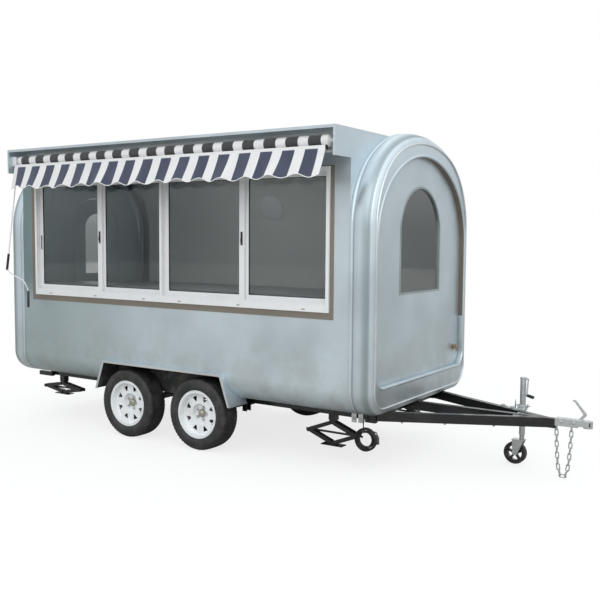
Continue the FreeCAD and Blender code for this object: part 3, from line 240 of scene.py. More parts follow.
class Nodes:
    """Short way to add and join shader nodes of one material."""

    def __init__(self, finish):
        self.tree = finish.node_tree

    def add(self, kind, **values):
        node = self.tree.nodes.new(kind)
        for key, value in values.items():
            setattr(node, key, value)
        return node

    def join(self, output, target):
        self.tree.links.new(output, target)

    def position(self, scale=(1, 1, 1), turn=(0, 0, 0)):
        """Object coordinates through a Mapping node."""
        source = self.add("ShaderNodeTexCoord")
        mapping = self.add("ShaderNodeMapping")
        mapping.inputs["Scale"].default_value = scale
        mapping.inputs["Rotation"].default_value = turn
        self.join(source.outputs["Object"], mapping.inputs["Vector"])
        return mapping.outputs["Vector"]

    def noise(self, vector, scale, detail=4.0, roughness=0.55):
        node = self.add("ShaderNodeTexNoise")
        node.inputs["Scale"].default_value = scale
        node.inputs["Detail"].default_value = detail
        node.inputs["Roughness"].default_value = roughness
        self.join(vector, node.inputs["Vector"])
        return node.outputs["Fac"]

    def range(self, value, low, high, out_low, out_high, smooth=True):
        node = self.add("ShaderNodeMapRange")
        node.interpolation_type = "SMOOTHSTEP" if smooth else "LINEAR"
        for index, number in enumerate((low, high, out_low, out_high)):
            node.inputs[index + 1].default_value = number
        self.join(value, node.inputs["Value"])
        return node.outputs["Result"]

    def math(self, operation, first, second):
        node = self.add("ShaderNodeMath", operation=operation)
        for index, value in enumerate((first, second)):
            if isinstance(value, (int, float)):
                node.inputs[index].default_value = value
            else:
                self.join(value, node.inputs[index])
        return node.outputs["Value"]

    def mix(self, factor, first, second):
        node = self.add("ShaderNodeMix", data_type="RGBA")
        if isinstance(factor, (int, float)):
            node.inputs[0].default_value = factor
        else:
            self.join(factor, node.inputs[0])
        for index, value in ((6, first), (7, second)):
            if isinstance(value, (tuple, list)):
                node.inputs[index].default_value = (*value[:3], 1.0)
            else:
                self.join(value, node.inputs[index])
        return node.outputs[2]

    def split(self, vector):
        node = self.add("ShaderNodeSeparateXYZ")
        self.join(vector, node.inputs[0])
        return node.outputs

    def bump(self, height, strength, distance, target):
        node = self.add("ShaderNodeBump")
        node.inputs["Strength"].default_value = strength
        node.inputs["Distance"].default_value = distance
        self.join(height, node.inputs["Height"])
        self.join(node.outputs["Normal"], target)


CABIN_REAR = -2.281
CABIN_FRONT = 1.500
CABIN_MIDDLE = (CABIN_REAR + CABIN_FRONT) / 2 + float(ORIGIN[0])
CABIN_HALF = (CABIN_FRONT - CABIN_REAR) / 2


def brushed_sheet(name, colour, roughness=0.4, grain=(3.0, 3.0, 260.0), dirt=0.5, metallic=0.85,
                  shade=0.0, grooves=0.0):
    """Rolled metal sheet: fine grain lines, soft cloudy patches and road dust towards the bottom. Shade sets
    painted shade on the near side's rear and on the wall behind its window's rear edge; grooves sets painted
    shade in the end caps' grooves."""
    finish, shader = new_finish(name, colour, metallic=metallic, roughness=roughness)
    nodes = Nodes(finish)
    position = nodes.position()
    cloud = nodes.noise(position, 1.7, detail=5.0)
    fine = nodes.noise(nodes.position(scale=grain), 1.0, detail=3.0)
    pale = tuple(min(1.0, c * 1.14) for c in colour)
    dark = tuple(c * 0.84 for c in colour)
    tone = nodes.mix(nodes.range(cloud, 0.30, 0.72, 0.25, 0.75), dark, pale)
    lined = nodes.mix(nodes.math("MULTIPLY", fine, 0.35), tone, dark)
    along, across, height = nodes.split(position)[:3]
    # Painted shade: on the near side the wall's rear fades to a darker green-grey, and above 1.15 m the wall
    # behind the window's rear edge goes dark teal.
    if shade:
        near_side = nodes.range(across, -0.7, 0.1, shade, 0.0)
        rear_shade_colour = (colour[0] * 0.62, colour[1] * 0.67, colour[2] * 0.64)
        rear = nodes.math("MULTIPLY", nodes.range(along, -2.4, -0.5, 1.0, 0.0), near_side)
        lined = nodes.mix(rear, lined, rear_shade_colour)
        window_side_shade = nodes.math("MULTIPLY", nodes.range(along, -2.45, -2.40, 1.0, 0.0), near_side)
        window_side_shade = nodes.math("MULTIPLY", window_side_shade, nodes.range(height, 1.15, 1.45, 0.0, 1.0))
        lined = nodes.mix(window_side_shade, lined, (colour[0] * 0.30, colour[1] * 0.37, colour[2] * 0.36))
    # Painted shade in the end caps' grooves: a thin dark line by the joint flange and a wider dark band over
    # the front groove.
    if grooves:
        from_middle = nodes.math("ABSOLUTE", nodes.math("SUBTRACT", along, CABIN_MIDDLE), 0.0)
        in_cap = nodes.math("SUBTRACT", from_middle, CABIN_HALF)
        for low, middle, high in ((0.024, 0.031, 0.044), (0.085, 0.150, 0.185)):
            rise = nodes.range(in_cap, low, middle, 0.0, grooves)
            fall = nodes.range(in_cap, middle, high, 1.0, 0.0)
            grey = (colour[0] * 0.34, colour[1] * 0.38, colour[2] * 0.38)
            lined = nodes.mix(nodes.math("MULTIPLY", rise, fall), lined, grey)
    dust = nodes.range(height, 0.45, 1.25, dirt, 0.0)
    dust = nodes.math("MULTIPLY", dust, nodes.range(nodes.noise(position, 5.5), 0.4, 0.65, 0.1, 0.8))
    nodes.join(nodes.mix(dust, lined, (0.36, 0.34, 0.30)), shader.inputs["Base Color"])
    rough = nodes.range(cloud, 0.3, 0.7, roughness - 0.06, roughness + 0.1)
    nodes.join(nodes.math("ADD", rough, nodes.math("MULTIPLY", fine, 0.08)), shader.inputs["Roughness"])
    nodes.bump(fine, 0.06, 0.002, shader.inputs["Normal"])
    return finish


def powder_coat(name, colour, roughness=0.36, dirt=(0.45, 0.44, 0.40), amount=0.25, low=0.0, high=3.0):
    """Baked paint with faint orange-peel, and grime in patches between two heights."""
    finish, shader = new_finish(name, colour, roughness=roughness, Coat_Weight=0.15, Coat_Roughness=0.2)
    nodes = Nodes(finish)
    position = nodes.position()
    peel = nodes.noise(position, 420.0, detail=2.0)
    patch = nodes.range(nodes.noise(position, 7.0, detail=6.0), 0.48, 0.75, 0.0, amount)
    height = nodes.range(nodes.split(position)[2], low, high, 1.0, 0.25)
    grime = nodes.math("MULTIPLY", patch, height)
    nodes.join(nodes.mix(grime, colour, dirt), shader.inputs["Base Color"])
    nodes.join(nodes.range(patch, 0.0, 0.3, roughness, roughness + 0.2), shader.inputs["Roughness"])
    nodes.bump(peel, 0.05, 0.0006, shader.inputs["Normal"])
    return finish


def zinc_plate(name, colour, roughness=0.38):
    """Zinc plating: crystal patches of slightly different grey, duller and browner in stained patches."""
    finish, shader = new_finish(name, colour, metallic=0.9, roughness=roughness)
    nodes = Nodes(finish)
    position = nodes.position()
    cells = nodes.add("ShaderNodeTexVoronoi")
    cells.inputs["Scale"].default_value = 90.0
    nodes.join(position, cells.inputs["Vector"])
    spangle = nodes.range(cells.outputs["Color"], 0.0, 1.0, 0.0, 1.0)
    stain = nodes.range(nodes.noise(position, 18.0, detail=5.0), 0.45, 0.7, 0.0, 0.5)
    tone = nodes.mix(nodes.math("MULTIPLY", spangle, 0.35), colour, tuple(c * 0.72 for c in colour))
    nodes.join(nodes.mix(stain, tone, (0.40, 0.37, 0.30)), shader.inputs["Base Color"])
    nodes.join(nodes.range(stain, 0.0, 0.5, roughness, roughness + 0.25), shader.inputs["Roughness"])
    nodes.bump(nodes.noise(position, 150.0), 0.08, 0.0008, shader.inputs["Normal"])
    return finish


def rubber(name, colour, roughness=0.62, dust=0.35):
    """Black rubber with grey road dust in soft patches."""
    finish, shader = new_finish(name, colour, roughness=roughness)
    nodes = Nodes(finish)
    position = nodes.position()
    patch = nodes.range(nodes.noise(position, 11.0, detail=6.0), 0.4, 0.72, 0.0, dust)
    nodes.join(nodes.mix(patch, colour, (0.20, 0.19, 0.17)), shader.inputs["Base Color"])
    nodes.join(nodes.range(patch, 0.0, 0.4, roughness, roughness + 0.2), shader.inputs["Roughness"])
    nodes.bump(nodes.noise(position, 260.0), 0.12, 0.001, shader.inputs["Normal"])
    return finish


def tinted_glass(name, colour, roughness=0.02):
    """Tinted pane with a faint film of dust."""
    finish, shader = new_finish(name, colour, roughness=roughness, Transmission_Weight=1.0, IOR=1.45)
    nodes = Nodes(finish)
    film = nodes.range(nodes.noise(nodes.position(), 4.0, detail=6.0), 0.4, 0.75, roughness, roughness + 0.05)
    nodes.join(film, shader.inputs["Roughness"])
    return finish


def striped_cloth(name, dark, light, pitch, dark_share, first, length):
    """Woven stripes along U: the stripe number is (u * length - first) / pitch, its first share is dark,
    and the rolled cloth shows its greyer back."""
    finish, shader = new_finish(name, light, roughness=0.85, Sheen_Weight=0.25, Sheen_Roughness=0.5)
    nodes = Nodes(finish)
    position = nodes.position()
    cloth = nodes.add("ShaderNodeUVMap", uv_map="UVMap")
    along = nodes.math("MULTIPLY", nodes.split(cloth.outputs["UV"])[0], length)
    number = nodes.math("DIVIDE", nodes.math("SUBTRACT", along, first), pitch)
    wander = nodes.math("MULTIPLY", nodes.math("SUBTRACT", nodes.noise(position, 300.0), 0.5), 0.02)
    share = nodes.math("FRACT", nodes.math("ADD", number, wander), 0.0)
    edge = nodes.range(share, dark_share - 0.012, dark_share + 0.012, 1.0, 0.0)
    rise = nodes.range(share, 0.0, 0.024, 0.0, 1.0)
    band = nodes.math("MULTIPLY", edge, rise)
    fade = nodes.range(nodes.noise(position, 6.0, detail=6.0), 0.35, 0.75, 0.0, 0.35)
    dark_tone = nodes.mix(fade, dark, tuple(min(1, c * 1.5 + 0.02) for c in dark))
    rolled = nodes.range(nodes.split(position)[2], 2.514, 2.524, 0.0, 1.0)
    dark_tone = nodes.mix(rolled, dark_tone, (0.042, 0.042, 0.043))
    light_tone = nodes.mix(fade, light, tuple(c * 0.86 for c in light))
    nodes.join(nodes.mix(band, light_tone, dark_tone), shader.inputs["Base Color"])
    warp = nodes.add("ShaderNodeTexWave", wave_type="BANDS", bands_direction="X")
    warp.inputs["Scale"].default_value = 260.0
    weft = nodes.add("ShaderNodeTexWave", wave_type="BANDS", bands_direction="Z")
    weft.inputs["Scale"].default_value = 260.0
    for wave in (warp, weft):
        nodes.join(position, wave.inputs["Vector"])
    weave = nodes.math("MULTIPLY", warp.outputs["Fac"], weft.outputs["Fac"])
    nodes.bump(weave, 0.35, 0.0008, shader.inputs["Normal"])
    return finish


FINISHES = {}


def make_finishes(look, cloth):
    """Every finish of the trailer, by its own name."""
    steel = tuple(look.sheet_colour)
    FINISHES.update({
        "body_sheet": brushed_sheet("body_sheet", steel, roughness=0.40, dirt=0.4, shade=0.75),
        "panel_sheet": brushed_sheet("panel_sheet", steel, roughness=0.40, dirt=0.4),
        "end_cap": brushed_sheet("end_cap", steel, roughness=0.35, dirt=0.3, grooves=0.75),
        "roof_sheet": brushed_sheet("roof_sheet", steel, roughness=0.45, grain=(260.0, 3.0, 3.0), dirt=0.0),
        "frame_white": powder_coat("frame_white", tuple(look.frame_colour), amount=0.18),
        "white_bar": powder_coat("white_bar", (0.80, 0.81, 0.82), amount=0.2),
        "seal": rubber("seal", (0.018, 0.018, 0.02), roughness=0.5, dust=0.15),
        "window_glass": tinted_glass("window_glass", tuple(look.glass_colour)),
        "chassis_black": powder_coat("chassis_black", (0.009, 0.009, 0.010), roughness=0.24,
                                     dirt=(0.12, 0.105, 0.085), amount=0.3, high=0.6),
        "underbody": powder_coat("underbody", (0.05, 0.05, 0.052), roughness=0.55,
                                 dirt=(0.20, 0.17, 0.13), amount=0.7),
        "zinc": zinc_plate("zinc", (0.66, 0.69, 0.70)),
        "tyre_rubber": rubber("tyre_rubber", (0.020, 0.020, 0.021), roughness=0.55, dust=0.16),
        "wheel_enamel": powder_coat("wheel_enamel", (0.86, 0.885, 0.90), roughness=0.28,
                                    dirt=(0.34, 0.31, 0.26), amount=0.2),
        "grease_cap": zinc_plate("grease_cap", (0.50, 0.47, 0.39), roughness=0.35),
        "cable_jacket": rubber("cable_jacket", (0.014, 0.014, 0.015), roughness=0.42, dust=0.12),
        "worktop": brushed_sheet("worktop", (0.46, 0.48, 0.49), roughness=0.35, dirt=0.0),
        "lining": powder_coat("lining", (0.72, 0.73, 0.72), roughness=0.5, amount=0.1),
        "hem_tape": powder_coat("hem_tape", (0.86, 0.86, 0.86), roughness=0.8, amount=0.1),
        "plug_plastic": powder_coat("plug_plastic", (0.02, 0.02, 0.022), roughness=0.4, amount=0.2),
        "latch_black": powder_coat("latch_black", (0.016, 0.016, 0.018), roughness=0.38, amount=0.15),
        "guard_lining": rubber("guard_lining", (0.030, 0.031, 0.032), roughness=0.7, dust=0.45),
        "bright_edge": brushed_sheet("bright_edge", (0.74, 0.77, 0.78), roughness=0.3, dirt=0.1),
        "floor_cover": rubber("floor_cover", (0.12, 0.13, 0.14), roughness=0.6, dust=0.3),
        "window_rim": brushed_sheet("window_rim", (0.44, 0.49, 0.50), roughness=0.38, dirt=0.0),
        # Dark brown of the painted reflection on the end caps' recess walls.
        "painted_recess_reflection": brushed_sheet("painted_recess_reflection", (0.20, 0.165, 0.135), roughness=0.35, dirt=0.0,
                                      metallic=0.4),
        "brass": zinc_plate("brass", (0.46, 0.27, 0.16), roughness=0.3),
        "lamp_amber": powder_coat("lamp_amber", (0.75, 0.22, 0.02), roughness=0.12, amount=0.05),
        "lamp_clear": powder_coat("lamp_clear", (0.72, 0.73, 0.74), roughness=0.12, amount=0.05),
        "lamp_red": powder_coat("lamp_red", (0.42, 0.012, 0.012), roughness=0.12, amount=0.05),
        "trim_strip": brushed_sheet("trim_strip", (0.30, 0.27, 0.23), roughness=0.5, dirt=0.1),
        "cloth": striped_cloth("cloth", tuple(look.stripe_dark), tuple(look.stripe_light),
                               look.stripe_pitch, look.stripe_share, look.stripe_first - cloth.rear,
                               cloth.front - cloth.rear),
    })


NODE_FINISH = {
    "body_sheet": ("service_wall", "far_wall", "mudguard_near"),
    "panel_sheet": ("front_panel", "rear_panel", "rear_door", "mudguard_far", "awning_box"),
    "end_cap": ("front_cap", "rear_cap", "dormer_ends"),
    "roof_sheet": ("roof",),
    "frame_white": ("window_frame", "window_sashes"),
    "white_bar": ("awning_front_bar", "awning_roller", "awning_arms", "awning_crank", "side_vent"),
    "window_rim": ("front_window_seal",),
    "brass": ("drain_tap",),
    "window_glass": ("window_glass", "rear_door_glass"),
    "chassis_black": ("chassis_rails", "cross_members", "drawbar_rails", "stabilisers_front",
                      "stabilisers_rear", "spring_hangers", "jockey_wheel"),
    "underbody": ("axles", "leaf_springs"),
    "zinc": ("coupling", "coupling_lever", "safety_chain", "jockey_tube", "jockey_inner_tube",
             "jockey_clamp", "jockey_fork", "jockey_crank", "rear_door_fittings",
             "door_hinges_frame"),
    "tyre_rubber": ("jockey_tyre", "tyre_front_near", "tyre_front_far", "tyre_rear_near", "tyre_rear_far"),
    "wheel_enamel": ("wheel_front_near", "wheel_front_far", "wheel_rear_near", "wheel_rear_far"),
    "cable_jacket": ("cable_coil", "cable_lead", "cable_plug"),
    "worktop": ("worktops", "worktop_panels"),
    "floor_cover": ("cabin_floor",),
    "lamp_red": ("tail_lamps",),
    "trim_strip": ("window_trim",),
    "cloth": ("awning_cloth",),
}

# Shapes across the trailer

def arch_path(half, bottom, top, spring, shoulder, corner, count=24):
    """Closed outline across the trailer, as points (y, z) and outward normals, starting at the bottom's
    middle and going round by +Y. Corners and shoulders are circles: centre + radius * (sin a, cos a) for an
    angle a from straight up; the crown's radius is (h^2 + rise^2 - 2 h s) / (2 (rise - s))."""
    rise = top - spring
    crown = (half ** 2 + rise ** 2 - 2 * half * shoulder) / (2 * (rise - shoulder))
    crown_z = top - crown
    turn = math.atan2(half - shoulder, spring - crown_z)

    def arc(centre_y, centre_z, radius, start, end, number):
        angle = np.linspace(start, end, number, endpoint=False)
        out = np.stack([np.sin(angle), np.cos(angle)], axis=1)
        return np.array([centre_y, centre_z]) + radius * out, out

    def line(start, end, out, number):
        share = np.linspace(0, 1, number, endpoint=False)[:, None]
        return (1 - share) * np.array(start) + share * np.array(end), np.tile(out, (number, 1))

    parts = [line((0, bottom), (half - corner, bottom), (0, -1), count // 2),
             arc(half - corner, bottom + corner, corner, math.pi, math.pi / 2, count // 2),
             line((half, bottom + corner), (half, spring), (1, 0), count // 2),
             arc(half - shoulder, spring, shoulder, math.pi / 2, turn, count),
             arc(0, crown_z, crown, turn, 0, count // 2)]
    points = np.concatenate([p for p, _ in parts] + [[[0, top]]])
    normals = np.concatenate([n for _, n in parts] + [[[0, 1]]])
    mirror = np.array([-1, 1])
    points = np.concatenate([points, points[-2:0:-1] * mirror])
    normals = np.concatenate([normals, normals[-2:0:-1] * mirror])
    return points, normals


HALF_WIDTH = 0.921
SHOULDER = 0.720
SPRING_Z = 1.925
ROOF_TOP = 2.715
CABIN_BOTTOM = 0.475
SILL = 0.200


def cabin_path(side, roof, below):
    """The cabin's outline and its normals, with its sides, roof and bottom moved in."""
    return arch_path(HALF_WIDTH - side, CABIN_BOTTOM + below, ROOF_TOP - roof, SPRING_Z, SHOULDER - side,
                     SILL - side)


def recess_path(inset):
    """The end panel's outline, moved in by inset."""
    return arch_path(0.845 - inset, 0.706 + inset, 2.522 - inset, 1.800, 0.660 - inset, 0.110 - inset)


def cross_rows(rows):
    """Grid of points from rows of (x, outline): every outline has the same number of points."""
    return np.stack([np.column_stack([np.full(len(path), x), path]) for x, path in rows])


# Along the cap, and how far its sides, roof and bottom are moved in: joint flange, groove, wide roll,
# groove, front edge.
CAP_STATIONS = (
    (0.000, 0.000, 0.000, 0.000), (0.000, -0.010, -0.008, 0.000), (0.003, -0.012, -0.010, 0.000),
    (0.022, -0.012, -0.010, 0.000), (0.025, -0.010, -0.008, 0.000), (0.027, -0.004, -0.003, 0.001),
    (0.031, -0.003, -0.002, 0.002), (0.035, -0.004, -0.003, 0.001), (0.042, -0.0085, -0.007, 0.000),
    (0.060, -0.0115, -0.008, 0.000), (0.085, -0.0125, -0.006, 0.000), (0.110, -0.0120, 0.000, 0.000),
    (0.130, -0.0095, 0.0075, 0.002), (0.145, -0.0055, 0.014, 0.004), (0.154, -0.0005, 0.020, 0.007),
    (0.158, 0.0045, 0.0255, 0.010), (0.162, 0.0055, 0.027, 0.011), (0.166, 0.0045, 0.0275, 0.011),
    (0.172, 0.0065, 0.0315, 0.013), (0.180, 0.0115, 0.0385, 0.018), (0.187, 0.0185, 0.0465, 0.024),
    (0.193, 0.0275, 0.0565, 0.032), (0.197, 0.0360, 0.0660, 0.040), (0.1995, 0.0450, 0.0760, 0.050))
# Across the ring's face towards the recess: along the cap, and how far outside the recess's outline.
RING_STATIONS = ((0.2000, 0.030), (0.2005, 0.0265), (0.2035, 0.0235), (0.2065, 0.0200), (0.2082, 0.0150),
                 (0.2085, 0.0105), (0.2065, 0.0055), (0.2030, 0.0025), (0.1980, 0.0008), (0.1900, 0.0000),
                 (0.1700, 0.0000), (0.1565, 0.0000))


def end_cap_points(seam, direction):
    """Cap surface: rows along the cap, then rows across its face into the recess, each row one outline."""
    rows = [(seam + direction * along, cabin_path(side, roof, below)[0])
            for along, side, roof, below in CAP_STATIONS]
    rows += [(seam + direction * along, recess_path(-out)[0]) for along, out in RING_STATIONS]
    return cross_rows(rows)


class TRAILER_OT_end_caps(bpy.types.Operator):
    """Moulded end caps with their rolls, grooves and raised bead"""
    bl_idname = "trailer.end_caps"
    bl_label = "End caps"

    def execute(self, context):
        for name, seam, direction in (("front_cap", CABIN_FRONT, 1), ("rear_cap", CABIN_REAR, -1)):
            grid = end_cap_points(seam, direction)
            rows, columns = grid.shape[:2]
            faces = grid_faces(rows, columns, wrap_columns=True, flip=direction < 0)
            new_piece(name + "_skin", [(placed(grid.reshape(-1, 3)), faces)], FINISHES["end_cap"],
                      replaces=(name,), outward=False)
        return {"FINISHED"}


# Tyres

# Half of the tyre's outline: distance from its middle plane, and radius.
TYRE_HALF = ((0.0000, 0.3168), (0.0300, 0.3165), (0.0540, 0.3156), (0.0700, 0.3140), (0.0810, 0.3112),
             (0.0885, 0.3065), (0.0940, 0.2995), (0.0985, 0.2900), (0.1020, 0.2790), (0.1040, 0.2670),
             (0.1045, 0.2560), (0.1035, 0.2450), (0.1010, 0.2345), (0.0975, 0.2260), (0.0935, 0.2200),
             (0.0912, 0.2160))


def smooth_line(points, number):
    """Cubic curve through points at even steps along the chord: Catmull-Rom weights worked out at once."""
    points = np.asarray(points, float)
    padded = np.concatenate([[2 * points[0] - points[1]], points, [2 * points[-1] - points[-2]]])
    at = np.linspace(0, len(points) - 1.000001, number)
    index = at.astype(int)
    t = (at - index)[:, None]
    a, b, c, d = (padded[index + k] for k in range(4))
    return 0.5 * (2 * b + (c - a) * t + (2 * a - 5 * b + 4 * c - d) * t ** 2
                  + (3 * b - a - 3 * c + d) * t ** 3)


def tyre_grid(centre, blocks):
    """Tyre surface over turn and profile: radius = profile radius - groove depth, where the grooves are
    three rings and slanted slots that repeat with the blocks; the slots fade out on the side walls."""
    half = smooth_line(TYRE_HALF, 44)
    inner = np.array([[0.0908, 0.2125], [0.0, 0.2122]])
    side = np.concatenate([half, inner[:1]])
    profile = np.concatenate([side[::-1] * [-1, 1], half[1:], inner[:1], inner[1:]])
    along, radius = profile[:, 0], profile[:, 1]
    number = blocks * 7
    turn = np.arange(number) * 2 * np.pi / number
    outside = (radius > 0.294)
    rings = sum(np.exp(-((along - place) / 0.0042) ** 4) for place in (-0.047, -0.0155, 0.0155, 0.047))
    phase = blocks * turn[:, None] / (2 * np.pi) + 9.0 * np.abs(along)[None, :]
    slot = np.exp(-(((phase % 1.0) - 0.5) / 0.13) ** 4)
    shoulder = np.clip((np.abs(along) - 0.050) / 0.006, 0, 1)
    middle = np.clip((0.0115 - np.abs(np.abs(along) - 0.031)) / 0.004, 0, 1)
    depth = 0.0065 * rings + slot * (0.0055 * shoulder + 0.0035 * middle)[None, :]
    depth = depth * outside * np.clip((radius - 0.294) / 0.008, 0, 1)
    ribs = 0.0011 * (np.exp(-((radius - 0.2345) / 0.0020) ** 4) + np.exp(-((radius - 0.2835) / 0.0016) ** 4))
    bar = 0.0009 * np.exp(-((radius - 0.259) / 0.011) ** 6) * (np.sin(turn * 48)[:, None] > 0.2)
    out = radius[None, :] - depth
    wide = along[None, :] + np.sign(along)[None, :] * ((ribs * (np.abs(along) > 0.08))[None, :]
                                                       + bar * (np.abs(along) > 0.098)[None, :])
    points = np.stack([centre[0] + out * np.sin(turn)[:, None],
                       centre[1] + np.broadcast_to(wide, out.shape),
                       centre[2] + out * np.cos(turn)[:, None]], axis=-1)
    return points


WHEELS = [(axle + "_" + side, (x, y, TYRE_RADIUS), sign)
          for axle, x in (("front", 0.0), ("rear", -AXLE_SPACING))
          for side, y, sign in (("near", -0.850, -1), ("far", 0.850, 1))]


class TRAILER_OT_tyres(bpy.types.Operator):
    """Tyres with tread blocks and ribbed side walls"""
    bl_idname = "trailer.tyres"
    bl_label = "Tyres"

    def execute(self, context):
        blocks = context.scene.trailer_wheels.tread_blocks
        for label, centre, _ in WHEELS:
            grid = tyre_grid(centre, blocks)
            faces = grid_faces(grid.shape[0], grid.shape[1], wrap_rows=True, wrap_columns=True)
            new_piece("tyre_" + label + "_tread", [(placed(grid.reshape(-1, 3)), faces)],
                      FINISHES["tyre_rubber"], body=label + "_wheel",
                      replaces=("tyre_" + label,))
        return {"FINISHED"}


class TRAILER_OT_wheel_fittings(bpy.types.Operator):
    """Lug nuts, grease caps, valves, rim edges, and a dark sheet of painted shade inside each rim"""
    bl_idname = "trailer.wheel_fittings"
    bl_label = "Wheel fittings"

    def execute(self, context):
        sizes = context.scene.trailer_wheels
        for label, centre, side in WHEELS:
            body = label + "_wheel"
            centre = placed(centre)
            out = np.array([0.0, side, 0.0])
            seat = centre + out * 0.013
            nuts = []
            for turn in np.arange(5) * 2 * np.pi / 5 + 0.3:
                place = seat + sizes.lug_circle * np.array([math.sin(turn), 0, math.cos(turn)])
                nuts.append(six_sided_nut(place - out * 0.001, out, 0.021, 0.017))
                nuts.append(turned(place, out, [(0, 0.0145), (0.003, 0.0145), (0.004, 0.0125)], sides=16))
                nuts.append(turned(place + out * 0.014, out, [(0, 0.006), (0.008, 0.006), (0.009, 0.005)],
                                   sides=10))
            new_piece("lug_nuts_" + label, nuts, FINISHES["zinc"], body=body, smooth=False)
            angle = np.linspace(0, np.pi / 2 * 0.97, 8)
            dome = np.stack([0.0185 + 0.011 * np.sin(angle), 0.0250 * np.cos(angle) ** 0.8], axis=1)
            profile = [(-0.004, 0.0350), (0.001, 0.0350), (0.003, 0.0332), (0.0165, 0.0328),
                       (0.0178, 0.0316), (0.0182, 0.0262)] + dome.tolist()
            new_piece("grease_cap_" + label, [turned(seat, out, profile, sides=40)],
                      FINISHES["grease_cap"], body=body)
            stem_seat = centre + out * 0.036 + 0.174 * np.array([math.sin(2.2), 0, math.cos(2.2)])
            stem = [(-0.012, 0.0058), (0.014, 0.0052), (0.015, 0.0040), (0.028, 0.0040), (0.029, 0.0030)]
            new_piece("valve_" + label, [turned(stem_seat, out, stem, sides=12)], FINISHES["seal"], body=body)
            self.rim_flange(label, centre, out)
            # Painted shade: a dark open sheet lining the inside of each rim.
            points, faces = turned(centre, out, [(-0.080, 0.112), (-0.080, 0.160), (0.018, 0.160)], sides=64)
            new_piece("rim_painted_shade_" + label, [(points, faces[:-2])], FINISHES["underbody"], body=body,
                      outward=False)
        return {"FINISHED"}

    def rim_flange(self, label, centre, out):
        """Rolled edge of the rim, and a bead line further in, as turned rings."""
        angle = np.linspace(-0.35, np.pi + 0.6, 12)
        roll = np.stack([0.0885 + 0.0042 * np.sin(angle), 0.2075 + 0.0040 * np.cos(angle)], axis=1)
        lip = [(0.0700, 0.1890), (0.0850, 0.1905), (0.0895, 0.1935), (0.0905, 0.2000)] + roll[::-1].tolist()
        points, faces = turned(centre, out, lip, sides=96)
        faces = faces[:-2]
        new_piece("rim_edge_" + label, [(points, faces)], FINISHES["wheel_enamel"], body=label + "_wheel")


# Awning

ROLL_CENTRE = (-1.090, 2.572)


class TRAILER_OT_awning_cloth(bpy.types.Operator):
    """Striped cloth: the roll with its run over the front bar, and the valance with its bound hem"""
    bl_idname = "trailer.awning_cloth"
    bl_label = "Awning cloth"

    def execute(self, context):
        sizes = context.scene.trailer_awning
        self.make_roll(sizes)
        self.make_valance(sizes)
        return {"FINISHED"}

    def make_roll(self, sizes):
        """Rolled cloth: radius = r + 2 mm * sin of slow waves along x, from a wrapped edge on the back
        round to the front, then a run down to the bar."""
        x = np.linspace(sizes.rear, sizes.front, 260)
        angle = np.radians(np.linspace(-150, 205, 44))
        slow, fast = np.sin(x[:, None] * 23 + 2 * angle[None, :]), np.sin(x[:, None] * 71)
        radius = 0.0445 + 0.0008 * slow + 0.0004 * fast
        y = ROLL_CENTRE[0] - radius * np.sin(angle)[None, :]
        z = ROLL_CENTRE[1] + radius * np.cos(angle)[None, :]
        run = np.linspace(0, 1, 7)[None, 1:]
        end_y, end_z = -1.1445, 2.5315
        run_y = y[:, -1:] * (1 - run) + end_y * run
        slack = 0.004 * np.sin(run * np.pi) * (1 + 0.4 * np.sin(x[:, None] * 17))
        run_z = z[:, -1:] * (1 - run) + end_z * run - slack
        y = np.concatenate([y, run_y], axis=1)
        z = np.concatenate([z, run_z], axis=1)
        grid = np.stack([np.broadcast_to(x[:, None], y.shape), y, z], axis=-1)
        piece = new_piece("awning_roll_cloth", [(placed(grid.reshape(-1, 3)), grid_faces(*grid.shape[:2]))],
                          FINISHES["cloth"], uv=self.cloth_uv(x, y.shape[1]),
                          replaces=("awning_cloth", "awning_roller"), outward=False)
        self.thicken(piece, 0.0012)

    def make_valance(self, sizes):
        """Hanging strip: y = bar face - lean * t - waves that grow with the drop t, its lower edge is
        z = hem + scallop * (1 - cos) / 2 along x, and it hangs back along the trailer by slant * t."""
        x = np.linspace(sizes.rear, sizes.front, 420)
        t = np.linspace(0, 1, 26)
        wave = (np.sin(2 * np.pi * x / 0.463 + 0.6) + 0.6 * np.sin(2 * np.pi * x / 0.271 + 2.1)
                + 0.35 * np.sin(2 * np.pi * x / 0.93))
        turn = 2 * np.pi * (x - sizes.first_low) / sizes.scallop_pitch
        hem = sizes.hem + sizes.scallop * 0.5 * (1 - np.cos(turn)) + 0.004 * np.sin(x * 6.1 + 1.0)
        top = 2.508
        z = top + (hem[:, None] - top) * t[None, :]
        y = -1.1705 - sizes.lean * (t ** 1.2)[None, :] - 0.009 * wave[:, None] * (t ** 1.6)[None, :]
        free = np.clip((x - sizes.rear) / 0.35, 0, 1)
        free = free * (1 - 0.6 * np.clip((x - sizes.front) / 0.3 + 1, 0, 1))
        back = sizes.slant * free[:, None] * (t ** 1.2)[None, :]
        grid = np.stack([x[:, None] - back, y, z], axis=-1)
        piece = new_piece("awning_valance", [(placed(grid.reshape(-1, 3)), grid_faces(*grid.shape[:2]))],
                          FINISHES["cloth"], uv=self.cloth_uv(x, len(t)), outward=False)
        self.thicken(piece, 0.0012)
        edge = grid[:, -1, :]
        hem_tape = new_piece("awning_hem_tape", [tube(placed(edge), 0.0034, sides=8)], FINISHES["hem_tape"])

    def cloth_uv(self, x, rows):
        """U along the cloth and V down it, both from 0 to 1."""
        along = (x - x[0]) / (x[-1] - x[0])
        return np.stack(np.meshgrid(along, np.linspace(0, 1, rows), indexing="ij"), axis=-1).reshape(-1, 2)

    def thicken(self, piece, thickness):
        modifier = piece.modifiers.new("Solidify", "SOLIDIFY")
        modifier.thickness = thickness
        modifier.offset = 0


# Lighting cable

COIL_CENTRE = (1.514, -0.658, 0.256)
CABLE_RADIUS = 0.0045
POINT_RADIUS = 0.010  # Blender widens a curve's box by this much, and multiplies the bevel by it


